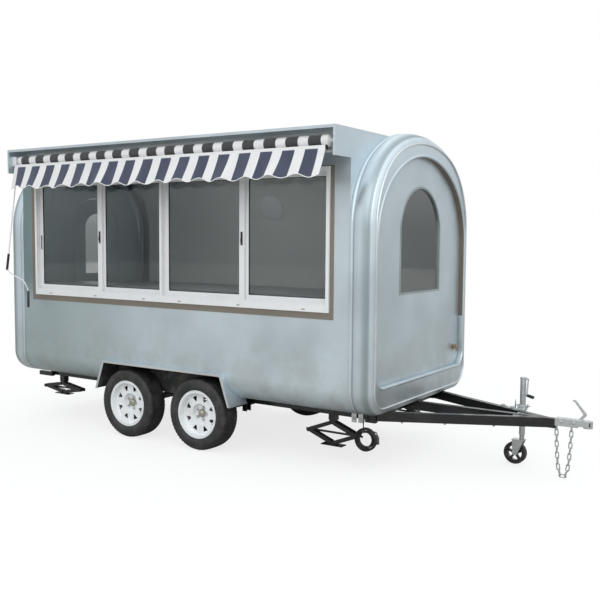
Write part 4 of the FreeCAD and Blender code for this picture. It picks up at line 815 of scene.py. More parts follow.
def coil_points(centre, layers, start_y, pitch, drift):
    """Control points of a wound coil: layer by layer, radius r, the turn going round while y runs to and
    fro by one pitch a turn; angle 0 is straight up."""
    points = []
    y = start_y
    for number, (radius, turns) in enumerate(layers):
        count = int(round(turns * 14))
        angle = np.arange(count) / 14 * 2 * np.pi
        sign = 1 if number % 2 == 0 else -1
        line = y + sign * pitch * np.arange(count) / 14
        wobble = 1 + 0.006 * np.sin(angle * 1.7 + number)
        points.append(np.stack([centre[0] + radius * wobble * np.sin(angle) + drift[number],
                                line, centre[2] + radius * wobble * np.cos(angle)], axis=1))
        y = line[-1] + sign * pitch / 14
    return np.concatenate(points)


class TRAILER_OT_cable(bpy.types.Operator):
    """Lighting cable hanging in a coil under the front corner, with its plug"""
    bl_idname = "trailer.cable"
    bl_label = "Lighting cable"

    def execute(self, context):
        cx, cy, cz = COIL_CENTRE
        layers = ((0.0925, 4), (0.0815, 3), (0.0705, 2), (0.0595, 2))
        coil = coil_points(COIL_CENTRE, layers, cy - 0.0225, 0.0115, (0.0, 0.0, 0.0, 0.0))
        lead = np.array([(1.500, cy, 0.4745), (1.500, cy, 0.455), (1.4995, cy - 0.003, 0.425),
                         (1.4985, cy - 0.011, 0.392), (1.500, cy - 0.019, 0.366),
                         (1.505, cy - 0.0222, 0.3515)])
        last = coil[-1]
        tail = np.array([(cx + 0.010, last[1] + 0.004, cz + 0.061), (cx + 0.036, cy + 0.024, cz + 0.062),
                         (cx + 0.060, cy + 0.037, cz + 0.062), (cx + 0.074, cy + 0.0470, cz + 0.052),
                         (cx + 0.075, cy + 0.0493, cz + 0.038), (cx + 0.075, cy + 0.0493, cz + 0.028)])
        route = placed(np.concatenate([lead, coil[1:], tail]))
        curve = bpy.data.curves.new("lighting_cable", "CURVE")
        curve.dimensions = "3D"
        curve.bevel_depth = CABLE_RADIUS / POINT_RADIUS
        curve.bevel_resolution = 3
        curve.resolution_u = 3
        curve.use_fill_caps = True
        spline = curve.splines.new("NURBS")
        spline.points.add(len(route) - 1)
        spline.points.foreach_set("co", np.column_stack([route, np.ones(len(route))]).ravel())
        spline.points.foreach_set("radius", np.full(len(route), POINT_RADIUS))
        spline.order_u = 3
        spline.use_endpoint_u = True
        cable = bpy.data.objects.new("lighting_cable", curve)
        bpy.context.scene.collection.objects.link(cable)
        curve.materials.append(FINISHES["cable_jacket"])
        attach(cable, "trailer")
        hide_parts("cable_coil", "cable_lead")
        plug = self.make_plug((cx + 0.075, cy + 0.0493, cz))
        sleeve = [(0, 0.013), (0.006, 0.013), (0.007, 0.0105), (0.014, 0.0100), (0.018, 0.0075),
                  (0.0185, 0.0048)]
        gland = new_piece("cable_gland", [turned(placed((1.500, cy, 0.4748)), (0, 0, -1), sleeve, sides=20)],
                          FINISHES["seal"])
        length = polyline_length(cable)
        return {"FINISHED"}

    def make_plug(self, centre):
        """Seven-pin plug: a ribbed body turned about its axis, and a side lug."""
        low = placed(centre) + np.array([0, 0, 0.034])
        profile = [(-0.004, 0.0052), (0.0, 0.0085), (0.004, 0.0105), (0.012, 0.0125), (0.016, 0.0165),
                   (0.020, 0.0185), (0.026, 0.0185), (0.027, 0.0172), (0.030, 0.0172), (0.031, 0.0185),
                   (0.036, 0.0185), (0.037, 0.0172), (0.040, 0.0172), (0.041, 0.0190), (0.070, 0.0190),
                   (0.072, 0.0178), (0.072, 0.0150), (0.060, 0.0148)]
        lug = block(low + np.array([-0.004, -0.0205, -0.060]), low + np.array([0.004, -0.017, -0.045]))
        return new_piece("cable_plug_body", [turned(low, (0, 0, -1), profile, sides=32), lug],
                         FINISHES["plug_plastic"], replaces=("cable_plug",))


def polyline_length(piece):
    """Length of a curve's own line, taken from its mesh with no bevel."""
    depth = piece.data.bevel_depth
    piece.data.bevel_depth = 0
    graph = bpy.context.evaluated_depsgraph_get()
    graph.update()
    mesh = bpy.data.meshes.new_from_object(piece.evaluated_get(graph))
    points = np.empty(len(mesh.vertices) * 3)
    mesh.vertices.foreach_get("co", points)
    bpy.data.meshes.remove(mesh)
    piece.data.bevel_depth = depth
    return float(np.linalg.norm(np.diff(points.reshape(-1, 3), axis=0), axis=1).sum())


class TRAILER_OT_cabin_lining(bpy.types.Operator):
    """Pale lining of the far wall and the roof inside the cabin"""
    bl_idname = "trailer.cabin_lining"
    bl_label = "Cabin lining"

    def execute(self, context):
        path, _ = arch_path(0.8835, 0.521, 2.6775, SPRING_Z, 0.6825, 0.165, count=40)
        keep = (path[:, 0] > -0.52) & ((path[:, 1] > 0.9) | (path[:, 0] > 0.75))
        path = path[keep]
        x = np.linspace(CABIN_REAR + 0.004, CABIN_FRONT - 0.004, 8)
        grid = cross_rows([(value, path) for value in x])
        new_piece("cabin_lining", [(placed(grid.reshape(-1, 3)), grid_faces(*grid.shape[:2]))],
                  FINISHES["lining"], outward=False)
        return {"FINISHED"}

# Windows

SASH_PANES = ((-2.017, -1.2458, -0.888), (-1.1648, -0.4645, -0.866), (-0.3565, 0.4258, -0.888),
              (0.5068, 1.256, -0.866))
PANE_LOW, PANE_HIGH = 1.378, 2.332


def frame_strip(x0, x1, z0, z1, y0, y1, width):
    """Four mitred bars round a rectangle in the XZ plane, as one closed band of quads."""
    outer = [(x0, z0), (x1, z0), (x1, z1), (x0, z1)]
    inner = [(x0 + width, z0 + width), (x1 - width, z0 + width), (x1 - width, z1 - width),
             (x0 + width, z1 - width)]
    points = [(x, y, z) for y in (y0, y1) for ring in (outer, inner) for x, z in ring]
    faces = []
    for i in range(4):
        j = (i + 1) % 4
        faces += [(i, j, 4 + j, 4 + i), (8 + j, 8 + i, 12 + i, 12 + j), (i, 8 + i, 8 + j, j),
                  (4 + i, 4 + j, 12 + j, 12 + i)]
    return np.array(points), faces


class TRAILER_OT_window_fittings(bpy.types.Operator):
    """Gaskets, tracks, drain slots, latches and pulls of the service window"""
    bl_idname = "trailer.window_fittings"
    bl_label = "Window fittings"

    def execute(self, context):
        gaskets, tracks, slots, latches, screws = [], [], [], [], []
        for x0, x1, y in SASH_PANES:
            gaskets.append(frame_strip(x0 - 0.001, x1 + 0.001, PANE_LOW - 0.001, PANE_HIGH + 0.001, y - 0.004,
                                       y + 0.009, 0.006))
        for x0, x1 in ((-2.057, -0.4245), (-0.3965, 1.296)):
            for y in (-0.9405, -0.9225, -0.8985):
                tracks.append(block((x0, y, 1.3255), (x1, y + 0.0025, 1.3335)))
                tracks.append(block((x0, y, 2.3645), (x1, y + 0.0025, 2.3725)))
            for share in (0.12, 0.5, 0.88):
                x = x0 + (x1 - x0) * share
                slots.append(block((x - 0.016, -0.9416, 1.292), (x + 0.016, -0.9406, 1.298)))
        for x in (-1.2188, 0.4528):
            latches.append(block((x - 0.009, -0.902, 1.79), (x + 0.009, -0.8945, 1.90)))
            latches.append(block((x - 0.004, -0.912, 1.815), (x + 0.010, -0.901, 1.850)))
        for x in (-2.037, 1.276):
            latches.append(block((x - 0.005, -0.9005, 1.72), (x + 0.005, -0.8945, 1.86)))
        bevel(new_piece("window_gaskets", [placed_part(part) for part in gaskets], FINISHES["seal"],
                        smooth=False), 0.0012)
        new_piece("window_tracks", [placed_part(part) for part in tracks], FINISHES["frame_white"],
                  smooth=False)
        new_piece("drain_slots", [placed_part(part) for part in slots], FINISHES["seal"],
                  smooth=False)
        bevel(new_piece("window_latches", [placed_part(part) for part in latches], FINISHES["latch_black"],
                        smooth=False), 0.002)
        for x in np.arange(-2.05, 1.33, 0.42):
            screws.append(turned(placed((x, -0.9405, 1.314)), (0, -1, 0),
                                 [(0, 0.0048), (0.0012, 0.0042), (0.0016, 0.0025)], sides=12))
        new_piece("frame_screws", screws, FINISHES["zinc"])
        return {"FINISHED"}


def placed_part(part):
    """A (points, faces) pair moved into the frame's coordinates."""
    points, faces = part
    return placed(points), faces


# Mudguards

GUARD_MIDDLE = -AXLE_SPACING / 2


def guard_line(inset, foot=0.424):
    """Mudguard's outline (x, z): rear foot, rear top, front top, front foot."""
    return np.array([(GUARD_MIDDLE - 0.802 + inset, foot), (GUARD_MIDDLE - 0.712 + inset, 0.700 - inset),
                     (GUARD_MIDDLE + 0.712 - inset, 0.700 - inset), (GUARD_MIDDLE + 0.802 - inset, foot)])


class TRAILER_OT_mudguards(bpy.types.Operator):
    """Dark lining inside the mudguards, their bright turned edges and stiffening folds"""
    bl_idname = "trailer.mudguards"
    bl_label = "Mudguards"

    def execute(self, context):
        for name, side in (("near", -1), ("far", 1)):
            line = guard_line(0.0052, 0.4245)
            ys = (0.7262, 0.9685)
            grid = np.array([[(x, side * y, z) for x, z in line] for y in ys])
            back = np.array([(x, side * 0.7262, z) for x, z in line])
            new_piece("mudguard_lining_" + name,
                      [(placed(grid.reshape(-1, 3)), grid_faces(2, 4)), (placed(back), [(0, 1, 2, 3)])],
                      FINISHES["guard_lining"], smooth=False, outward=False)
            slope = [(x, side * y, z) for y in (0.870, 0.9685) for x, z in guard_line(0.0058, 0.4245)[2:]]
            new_piece("mudguard_front_" + name, [(placed(slope), [(0, 1, 3, 2)])], FINISHES["bright_edge"],
                      smooth=False, outward=False)
            edge_out = guard_line(0.0012, 0.4245)
            edge_in = guard_line(0.0230, 0.4245)
            points = [(x, side * y, z) for y in (0.9712, 0.9672) for line in (edge_out, edge_in)
                      for x, z in line]
            faces = []
            for i in range(3):
                faces += [(i, i + 1, 5 + i, 4 + i), (9 + i, 8 + i, 12 + i, 13 + i),
                          (8 + i, 9 + i, i + 1, i), (4 + i, 5 + i, 13 + i, 12 + i)]
            faces += [(0, 4, 12, 8), (3, 11, 15, 7)]
            bevel(new_piece("mudguard_edge_" + name, [(placed(points), faces)], FINISHES["bright_edge"],
                            smooth=False), 0.0010)
        return {"FINISHED"}


# Awning box and crank

CRANK_PATH = ((-2.157, -1.100, 2.532), (-2.147, -1.120, 2.298), (-2.256, -1.122, 1.683),
              (-2.289, -1.122, 1.514), (-2.206, -1.100, 1.459), (-2.114, -1.060, 1.413),
              (-2.077, -1.040, 1.319), (-2.079, -1.040, 1.148))


def rounded_path(points, reach, steps=7):
    """Path with its corners turned into quadratic curves that start and end a reach from each corner."""
    points = np.asarray(points, float)
    out = [points[0]]
    for before, corner, after in zip(points[:-2], points[1:-1], points[2:]):
        first = before - corner
        last = after - corner
        start = corner + first * min(0.45, reach / np.linalg.norm(first))
        end = corner + last * min(0.45, reach / np.linalg.norm(last))
        for t in np.linspace(0, 1, steps):
            out.append((1 - t) ** 2 * start + 2 * t * (1 - t) * corner + t ** 2 * end)
    out.append(points[-1])
    return np.array(out)


def swept(path, radius, sides=14):
    """Round bar along any path, its side vector turned from point to point with the path."""
    path = np.asarray(path, float)
    along = np.gradient(path, axis=0)
    along /= np.linalg.norm(along, axis=1, keepdims=True)
    first = side_vectors(along[0])[0]
    rings = []
    turn = np.arange(sides) * 2 * np.pi / sides
    radius = np.broadcast_to(np.asarray(radius, float), (len(path),))
    for place, direction, r in zip(path, along, radius):
        first = first - (first @ direction) * direction
        first /= np.linalg.norm(first)
        second = np.cross(direction, first)
        rings.append(place + r * (np.cos(turn)[:, None] * first + np.sin(turn)[:, None] * second))
    faces = grid_faces(len(path), sides, wrap_columns=True).tolist()
    faces += [list(range(sides))[::-1], list(range((len(path) - 1) * sides, len(path) * sides))]
    return np.concatenate(rings), faces


class TRAILER_OT_awning_hardware(bpy.types.Operator):
    """Crank with its grips, bar end caps, roller ends and the box's turned edges"""
    bl_idname = "trailer.awning_hardware"
    bl_label = "Awning hardware"

    def execute(self, context):
        path = placed(CRANK_PATH)
        rod_line = rounded_path(path, 0.035)
        gear = block(placed((-2.1845, -1.116, 2.5265)), placed((-2.1295, -1.064, 2.6175)))
        eye_angle = np.linspace(0, 2 * np.pi, 20, endpoint=False)
        eye = path[0] + np.stack([0.013 * np.cos(eye_angle), np.zeros(20),
                                  -0.002 + 0.013 * np.sin(eye_angle)], axis=1)
        bevel(new_piece("crank_rod", [swept(rod_line, 0.0058), gear, tube(eye, 0.004, sides=8, closed=True)],
                        FINISHES["white_bar"], replaces=("awning_crank",)), 0.004)
        grips = []
        for low, high in ((path[2], path[3]), (path[6], path[7])):
            share = np.linspace(0.04, 0.99, 30)[:, None]
            line = low + (high - low) * share
            waist = 0.0118 + 0.0010 * np.cos(share[:, 0] * np.pi * 14) ** 2
            waist[0] = waist[-1] = 0.0085
            grips.append(swept(line, waist))
        new_piece("crank_grips", grips, FINISHES["latch_black"])
        caps = []
        for x0, x1 in ((-2.0895, -2.0815), (1.4225, 1.4305)):
            caps.append(block(placed((x0, -1.1695, 2.5005)), placed((x1, -1.1405, 2.5335))))
        bevel(new_piece("bar_end_caps", caps, FINISHES["plug_plastic"], smooth=False),
              0.002)
        hub = [(-0.048, 0.0395), (-0.004, 0.0395), (-0.003, 0.0385), (-0.003, 0.014), (0.044, 0.014)]
        ends = [turned(placed((x, ROLL_CENTRE[0], ROLL_CENTRE[1])), (sign, 0, 0), hub, sides=32)
                for x, sign in ((-2.0840, -1), (1.4300, 1))]
        new_piece("roller_ends", ends, FINISHES["white_bar"])
        lips = [block(placed((-2.2045, -1.1545, 2.6585)), placed((1.4995, -1.1515, 2.6640))),
                block(placed((-2.2045, -1.1548, 2.6770)), placed((1.4995, -1.1500, 2.6808)))]
        new_piece("box_edges", lips, FINISHES["bright_edge"], smooth=False)
        rail = block(placed((-2.1840, -0.9300, 2.6350)), placed((1.4790, -0.9215, 2.6620)))
        new_piece("awning_wall_rail", [rail], FINISHES["white_bar"], smooth=False)
        return {"FINISHED"}


# Chassis and drawbar

class TRAILER_OT_drawbar_fittings(bpy.types.Operator):
    """Bolts, nuts, coupler nose, jockey clamp and its handle"""
    bl_idname = "trailer.drawbar_fittings"
    bl_label = "Drawbar fittings"

    def execute(self, context):
        bolts, nose = [], []
        for x in (2.875, 2.965):
            place = placed((x, -0.0348, 0.4615))
            bolts.append(six_sided_nut(place, (0, -1, 0), 0.019, 0.0085))
            washer = [(0, 0.0125), (0.0018, 0.0125), (0.002, 0.0115)]
            bolts.append(turned(place, (0, -1, 0), washer, sides=20))
            bolts.append(turned(place, (0, -1, 0), [(0, 0.006), (0.013, 0.006), (0.014, 0.005)], sides=12))
        for x in (1.76, 2.06, 2.40):
            y = -0.486 * (2.812 - x)
            place = placed((x, y, 0.4105))
            bolts.append(six_sided_nut(place - np.array([0, 0, 0.0105]), (0, 0, -1), 0.016, 0.008))
        for x in (2.436, 2.520):
            place = placed((x, 0.2145, 0.4665))
            bolts.append(six_sided_nut(place, (0, 0, 1), 0.017, 0.009))
        new_piece("drawbar_bolts", bolts, FINISHES["zinc"], smooth=False)
        angle = np.linspace(-1.15, 1.15, 28)
        for radius in (0.0352, 0.0302):
            nose.append(np.stack([3.0660 + radius * np.cos(angle), radius * np.sin(angle)], axis=1))
        ring = [(x, y, z) for line in nose for x, y in line for z in (0.4440, 0.4750)]
        count = len(angle)
        outer = grid_faces(count, 2).tolist()
        inner = [[2 * count + i for i in face[::-1]] for face in grid_faces(count, 2).tolist()]
        rims = [(2 * i + k, 2 * i + 2 + k, 2 * count + 2 * i + 2 + k, 2 * count + 2 * i + k)
                for i in range(count - 1) for k in (0, 1)]
        new_piece("coupler_nose", [(placed(ring), outer + inner + rims)], FINISHES["latch_black"])
        self.jockey()
        return {"FINISHED"}

    def jockey(self):
        """Clamp ears with their T-handle, and the crank's black grip."""
        x, y = 2.478, 0.258
        ears = [block((x - 0.034, y - 0.012, 0.4655), (x - 0.0285, y + 0.046, 0.500)),
                block((x + 0.0285, y - 0.012, 0.4655), (x + 0.034, y + 0.046, 0.500)),
                block((x - 0.034, y - 0.030, 0.4670), (x + 0.034, y - 0.0255, 0.4990))]
        parts = [placed_part(part) for part in ears]
        screw = placed([(x - 0.075, y + 0.036, 0.484), (x + 0.052, y + 0.036, 0.484)])
        parts.append(turned(screw[0], (1, 0, 0), [(0, 0.0055), (0.127, 0.0055)], sides=14))
        handle = placed([(x - 0.073, y + 0.036, 0.440), (x - 0.073, y + 0.036, 0.528)])
        parts.append(turned(handle[0], (0, 0, 1), [(0, 0.0045), (0.002, 0.0055), (0.086, 0.0055),
                                                   (0.088, 0.0045)], sides=14))
        bevel(new_piece("jockey_clamp_ears", parts, FINISHES["zinc"]), 0.001)
        knee, hand = placed((x + 0.040, y - 0.026, 0.584)), placed((x + 0.104, y - 0.060, 0.578))
        share = np.linspace(0.10, 1.03, 22)[:, None]
        waist = 0.0128 + 0.0008 * np.cos(share[:, 0] * np.pi * 9) ** 2
        waist[0] = waist[-1] = 0.009
        new_piece("jockey_grip", [swept(knee + (hand - knee) * share, waist)], FINISHES["latch_black"])


# Small pieces on the body

BEAD_PLACE = (0.047, 0.085, 0.060)
RIVET_PITCH = 0.062
REAR_PANEL_X = CABIN_REAR - 0.156
LAMP_Y = 0.700


class TRAILER_OT_body_details(bpy.types.Operator):
    """Rivets, beads and painted recess reflections of the end caps, brackets under the floor, and the rear's
    small pieces
    """
    bl_idname = "trailer.body_details"
    bl_label = "Body details"

    def execute(self, context):
        self.cap_details()
        self.brackets()
        self.drawbar_plates()
        self.rear_pieces()
        return {"FINISHED"}

    def cap_details(self):
        """Rivets at even steps round each joint, a bead round each cap, and in each recess a dark brown band
        of painted reflection on its wall above 1.1 m.
        """
        rivets, beads, reflection_bands = [], [], []
        path, normals = cabin_path(-0.012, -0.010, 0.0)
        steps = np.concatenate([[0], np.cumsum(np.linalg.norm(np.diff(path, axis=0), axis=1))])
        places = np.arange(0, steps[-1], RIVET_PITCH)
        y, z = (np.interp(places, steps, path[:, k]) for k in (0, 1))
        out_y, out_z = (np.interp(places, steps, normals[:, k]) for k in (0, 1))
        bead = cabin_path(*BEAD_PLACE)[0]
        recess = recess_path(0.0014)[0]
        recess = recess[recess[:, 1] > 1.1]
        for seam, direction in ((CABIN_FRONT, 1), (CABIN_REAR, -1)):
            for k in np.flatnonzero((z > 0.62) & (z < 2.62)):
                rivets.append(rivet(placed((seam + direction * 0.0125, y[k], z[k])), (0, out_y[k], out_z[k]),
                                    0.0034, 0.0018))
            ring = np.column_stack([np.full(len(bead), seam + direction * 0.2024), bead])
            beads.append(tube(placed(ring), 0.0075, sides=12, closed=True))
            # Painted reflection: a dark brown band over the recess wall, standing for the ground it mirrors.
            grid = cross_rows([(seam + direction * along, recess) for along in (0.1970, 0.1572)])
            reflection_bands.append((placed(grid.reshape(-1, 3)), grid_faces(2, len(recess))))
        new_piece("cap_rivets", rivets, FINISHES["zinc"])
        new_piece("cap_beads", beads, FINISHES["bright_edge"])
        new_piece("painted_recess_reflections", reflection_bands, FINISHES["painted_recess_reflection"], outward=False)

    def brackets(self):
        """Zinc plates and painted blocks under the floor's corners."""
        plates = [block((1.366, -0.629, 0.372), (1.410, -0.621, 0.4752)),
                  block((1.427, -0.629, 0.374), (1.471, -0.621, 0.4752))]
        heads = [six_sided_nut(placed((x, -0.629, 0.402)), (0, -1, 0), 0.017, 0.008) for x in (1.388, 1.449)]
        bevel(new_piece("floor_brackets", [placed_part(part) for part in plates] + heads, FINISHES["zinc"],
                        smooth=False), 0.0015)
        blocks = [block((1.486, -0.628, 0.386), (1.582, -0.586, 0.446)),
                  block((-2.438, -0.628, 0.390), (-2.240, -0.586, 0.434))]
        bevel(new_piece("rail_blocks", [placed_part(part) for part in blocks], FINISHES["chassis_black"],
                        smooth=False), 0.003)

    def drawbar_plates(self):
        """Clamp plate along the far rail with two U-bolts, and the gusset behind the coupling."""
        slope = math.atan(0.486)
        ahead = np.array([math.cos(slope), -math.sin(slope), 0.0])
        aside = np.array([math.sin(slope), math.cos(slope), 0.0])
        middle = np.array([2.375, 0.2135, 0.4663])
        plate, _ = block((-0.115, -0.036, 0.0), (0.115, 0.036, 0.006))
        faces = block((0, 0, 0), (1, 1, 1))[1]
        parts = [(placed(middle + plate[:, :1] * ahead + plate[:, 1:2] * aside + plate[:, 2:] * [0, 0, 1]),
                  faces)]
        turn = np.linspace(0, np.pi, 9)[:, None]
        for along in (-0.075, 0.030):
            foot = middle + along * ahead
            arc = foot + 0.030 * np.cos(turn) * aside + (0.006 + 0.011 * np.sin(turn)) * np.array([0, 0, 1])
            parts.append(tube(placed(arc), 0.0048, sides=8))
            for across in (-0.030, 0.030):
                parts.append(six_sided_nut(placed(foot + across * aside + [0, 0, 0.006]), (0, 0, 1), 0.016,
                                           0.008))
        new_piece("clamp_plate", parts, FINISHES["zinc"], smooth=False)
        corners = [(x, y, z) for z in (0.4658, 0.4700) for x, y in ((2.500, -0.085), (2.700, -0.020),
                                                                    (2.700, 0.020), (2.500, 0.085))]
        bevel(new_piece("nose_gusset", [(placed(corners), faces)], FINISHES["zinc"],
                        smooth=False), 0.001)

    def rear_pieces(self):
        """Lamp lenses, reflectors and a blank plate on the rear panel."""
        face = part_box("tail_lamps")[0].x - ORIGIN[0]
        amber, clear, red = [], [], []
        for y in (-LAMP_Y, LAMP_Y):
            amber.append(block((face - 0.0015, y - 0.050, 0.798), (face + 0.004, y + 0.050, 0.840)))
            clear.append(block((face - 0.0015, y - 0.050, 0.680), (face + 0.004, y + 0.050, 0.708)))
            red.append(turned(placed((REAR_PANEL_X + 0.001, y, 0.920)), (-1, 0, 0),
                              [(0, 0.030), (0.006, 0.030), (0.008, 0.026)], sides=28))
        for name, parts, finish in (("lamp_turn_lenses", amber, "lamp_amber"),
                                    ("lamp_clear_lenses", clear, "lamp_clear")):
            bevel(new_piece(name, [placed_part(part) for part in parts], FINISHES[finish],
                            smooth=False), 0.001)
        new_piece("rear_reflectors", red, FINISHES["lamp_red"])
        plate = block((REAR_PANEL_X - 0.006, -0.610, 0.790), (REAR_PANEL_X + 0.001, -0.200, 0.900))
        bevel(new_piece("number_plate", [placed_part(plate)], FINISHES["frame_white"],
                        smooth=False), 0.003)


def colour(name, about, default):
    """Colour property."""
    return FloatVectorProperty(name=name, description=about, default=default, size=3, subtype="COLOR",
                               min=0, max=1)


def distance(name, about, default, low=0.0, high=1.0):
    """Length property, in metres."""
    return FloatProperty(name=name, description=about, default=default, min=low, max=high,
                         subtype="DISTANCE", unit="LENGTH")


class TrailerLook(bpy.types.PropertyGroup):
    """Colours and sizes of the finishes that a user would change."""
    sheet_colour: colour("Sheet colour", "Colour of the cabin's metal skin", (0.66, 0.745, 0.79))
    frame_colour: colour("Frame colour", "Colour of the window frames", (0.80, 0.81, 0.82))
    glass_colour: colour("Glass colour", "Tint of the panes", (0.74, 0.77, 0.765))
    stripe_dark: colour("Dark stripe", "Colour of the awning's dark stripes", (0.045, 0.055, 0.095))
    stripe_light: colour("Light stripe", "Colour of the awning's light stripes", (0.78, 0.78, 0.79))
    stripe_pitch: distance("Stripe pitch", "One dark and one light stripe together", 0.2049, 0.02, 1)
    stripe_share: FloatProperty(name="Dark share", description="Part of the pitch that is dark",
                                default=0.565, min=0.05, max=0.95, subtype="FACTOR")
    stripe_first: distance("First stripe", "Where the first dark stripe starts", -2.031, -5, 5)


class WheelSizes(bpy.types.PropertyGroup):
    """Sizes of tyres and wheels"""
    tread_blocks: IntProperty(name="Tread blocks", description="Blocks round each tyre", default=56, min=12,
                              max=120)
    lug_circle: distance("Lug circle", "Radius of the circle of lug nuts", 0.0565, 0.03, 0.1)


class AwningSizes(bpy.types.PropertyGroup):
    """Sizes of the awning's cloth"""
    rear: distance("Rear edge", "Where the cloth starts along the trailer", -2.084, -5, 5)
    front: distance("Front edge", "Where the cloth ends along the trailer", 1.425, -5, 5)
    hem: distance("Hem height", "Lowest point of the hem over the ground", 2.296, 0, 5)
    scallop: distance("Scallop", "Rise of the hem between two low points", 0.030, 0, 0.2)
    scallop_pitch: distance("Scallop pitch", "From one low point to the next", 0.2300, 0.02, 1)
    lean: distance("Lean", "How far the hem stands out from the front bar", 0.050, 0, 0.2)
    slant: distance("Slant", "How far back along the trailer the hem hangs", 0.048, 0, 0.2)
    first_low: distance("First low point", "Place of one low point along the trailer", -1.873, -5, 5)


class StageSizes(bpy.types.PropertyGroup):
    """Camera and light of the stage."""
    eye: FloatVectorProperty(name="Camera place", description="Camera place from the front axle's zero",
                             default=(4.5949, -6.3351, 1.8537), size=3, subtype="TRANSLATION",
                             unit="LENGTH")
    yaw: FloatProperty(name="Yaw", description="Turn of the view to the left of the trailer's side",
                       default=0.5796, subtype="ANGLE", unit="ROTATION")
    pitch: FloatProperty(name="Pitch", description="How far the view looks down", default=0.0756,
                         subtype="ANGLE", unit="ROTATION")
    roll: FloatProperty(name="Roll", description="Tilt of the picture", default=0.0073, subtype="ANGLE",
                        unit="ROTATION")
    lens: FloatProperty(name="Lens", description="Focal length on a 36 mm wide picture", default=49.27,
                        min=10, max=300, unit="CAMERA")
    sky: FloatProperty(name="Sky strength", description="Strength of the world's light", default=0.88,
                       min=0, max=5)
    cabin: FloatProperty(name="Cabin lamp", description="Power of the lamp inside the cabin, in watts",
                         default=9.0, min=0, max=2000)
    key: FloatProperty(name="Key lamp", description="Power of the large lamp, in watts", default=240.0,
                       min=0, max=5000)


class TRAILER_OT_stage(bpy.types.Operator):
    """Floor, backdrop, lamps, world and camera"""
    bl_idname = "trailer.stage"
    bl_label = "Stage"

    def execute(self, context):
        sizes = context.scene.trailer_stage
        add_floor()
        add_world(sizes.sky)
        add_lamp("key_lamp", placed((3.5, -7.0, 6.0)), placed((-0.5, 0, 1.0)), sizes.key, 7.5)
        add_lamp("cabin_lamp", placed((-0.4, 0.15, 2.62)), placed((-0.4, 0.2, 0.5)), sizes.cabin, 1.6)
        add_lamp("fill_lamp", placed((7.5, -1.0, 4.0)), placed((0.5, 0, 1.2)), sizes.key * 0.12, 4.0)
        add_camera(sizes)
        context.scene.view_settings.view_transform = "Standard"
        return {"FINISHED"}


def add_floor():
    """Ground, one large quad at z 0: a soft shadow on white for the camera, and a duller grey-brown for every
    other ray,
    with a painted dark brown shade patch round the drawbar. The white grows with the distance r from the
    middle:
    share = smooth(r, 3 m, 9 m)."""
    finish = bpy.data.materials.new("ground")
    finish.use_nodes = True
    nodes = Nodes(finish)
    shader = finish.node_tree.nodes["Principled BSDF"]
    output = finish.node_tree.nodes["Material Output"]
    shader.inputs["Roughness"].default_value = 0.9
    path = nodes.add("ShaderNodeLightPath")
    camera = path.outputs["Is Camera Ray"]
    away = nodes.add("ShaderNodeVectorMath", operation="DISTANCE")
    away.inputs[1].default_value = (2.7, 0.4, 0.0)
    nodes.join(nodes.position(), away.inputs[0])
    # Painted shade: a dark brown patch round the drawbar, seen only by rays other than the camera's, so the
    # end caps reflect it.
    near = nodes.range(away.outputs["Value"], 0.8, 3.0, 0.45, 0.0)
    seen = nodes.mix(near, (0.46, 0.45, 0.43), (0.12, 0.095, 0.07))
    nodes.join(nodes.mix(camera, seen, (0.90, 0.90, 0.90)), shader.inputs["Base Color"])
    glow = nodes.add("ShaderNodeEmission")
    glow.inputs["Color"].default_value = (1, 1, 1, 1)
    glow.inputs["Strength"].default_value = 1.0
    distance = nodes.add("ShaderNodeVectorMath", operation="LENGTH")
    nodes.join(nodes.position(), distance.inputs[0])
    share = nodes.math("MULTIPLY", nodes.range(distance.outputs["Value"], 2.2, 6.0, 0.78, 1.0), camera)
    blend = nodes.add("ShaderNodeMixShader")
    nodes.join(share, blend.inputs[0])
    nodes.join(shader.outputs[0], blend.inputs[1])
    nodes.join(glow.outputs[0], blend.inputs[2])
    nodes.join(blend.outputs[0], output.inputs["Surface"])
    reach = 40.0
    mesh = bpy.data.meshes.new("ground")
    mesh.from_pydata([(-reach, -reach, 0), (reach, -reach, 0), (reach, reach, 0), (-reach, reach, 0)], [],
                     [(0, 1, 2, 3)])
    mesh.materials.append(finish)
    ground = bpy.data.objects.new("ground", mesh)
    bpy.context.scene.collection.objects.link(ground)


# Height of the view direction from -1 to 1 as 0 to 1, and the sky's grey there.
SKY_STOPS = ((0.0, 0.20), (0.46, 0.24), (0.50, 0.38), (0.53, 0.76), (0.60, 1.0), (0.72, 1.0), (1.0, 1.5))


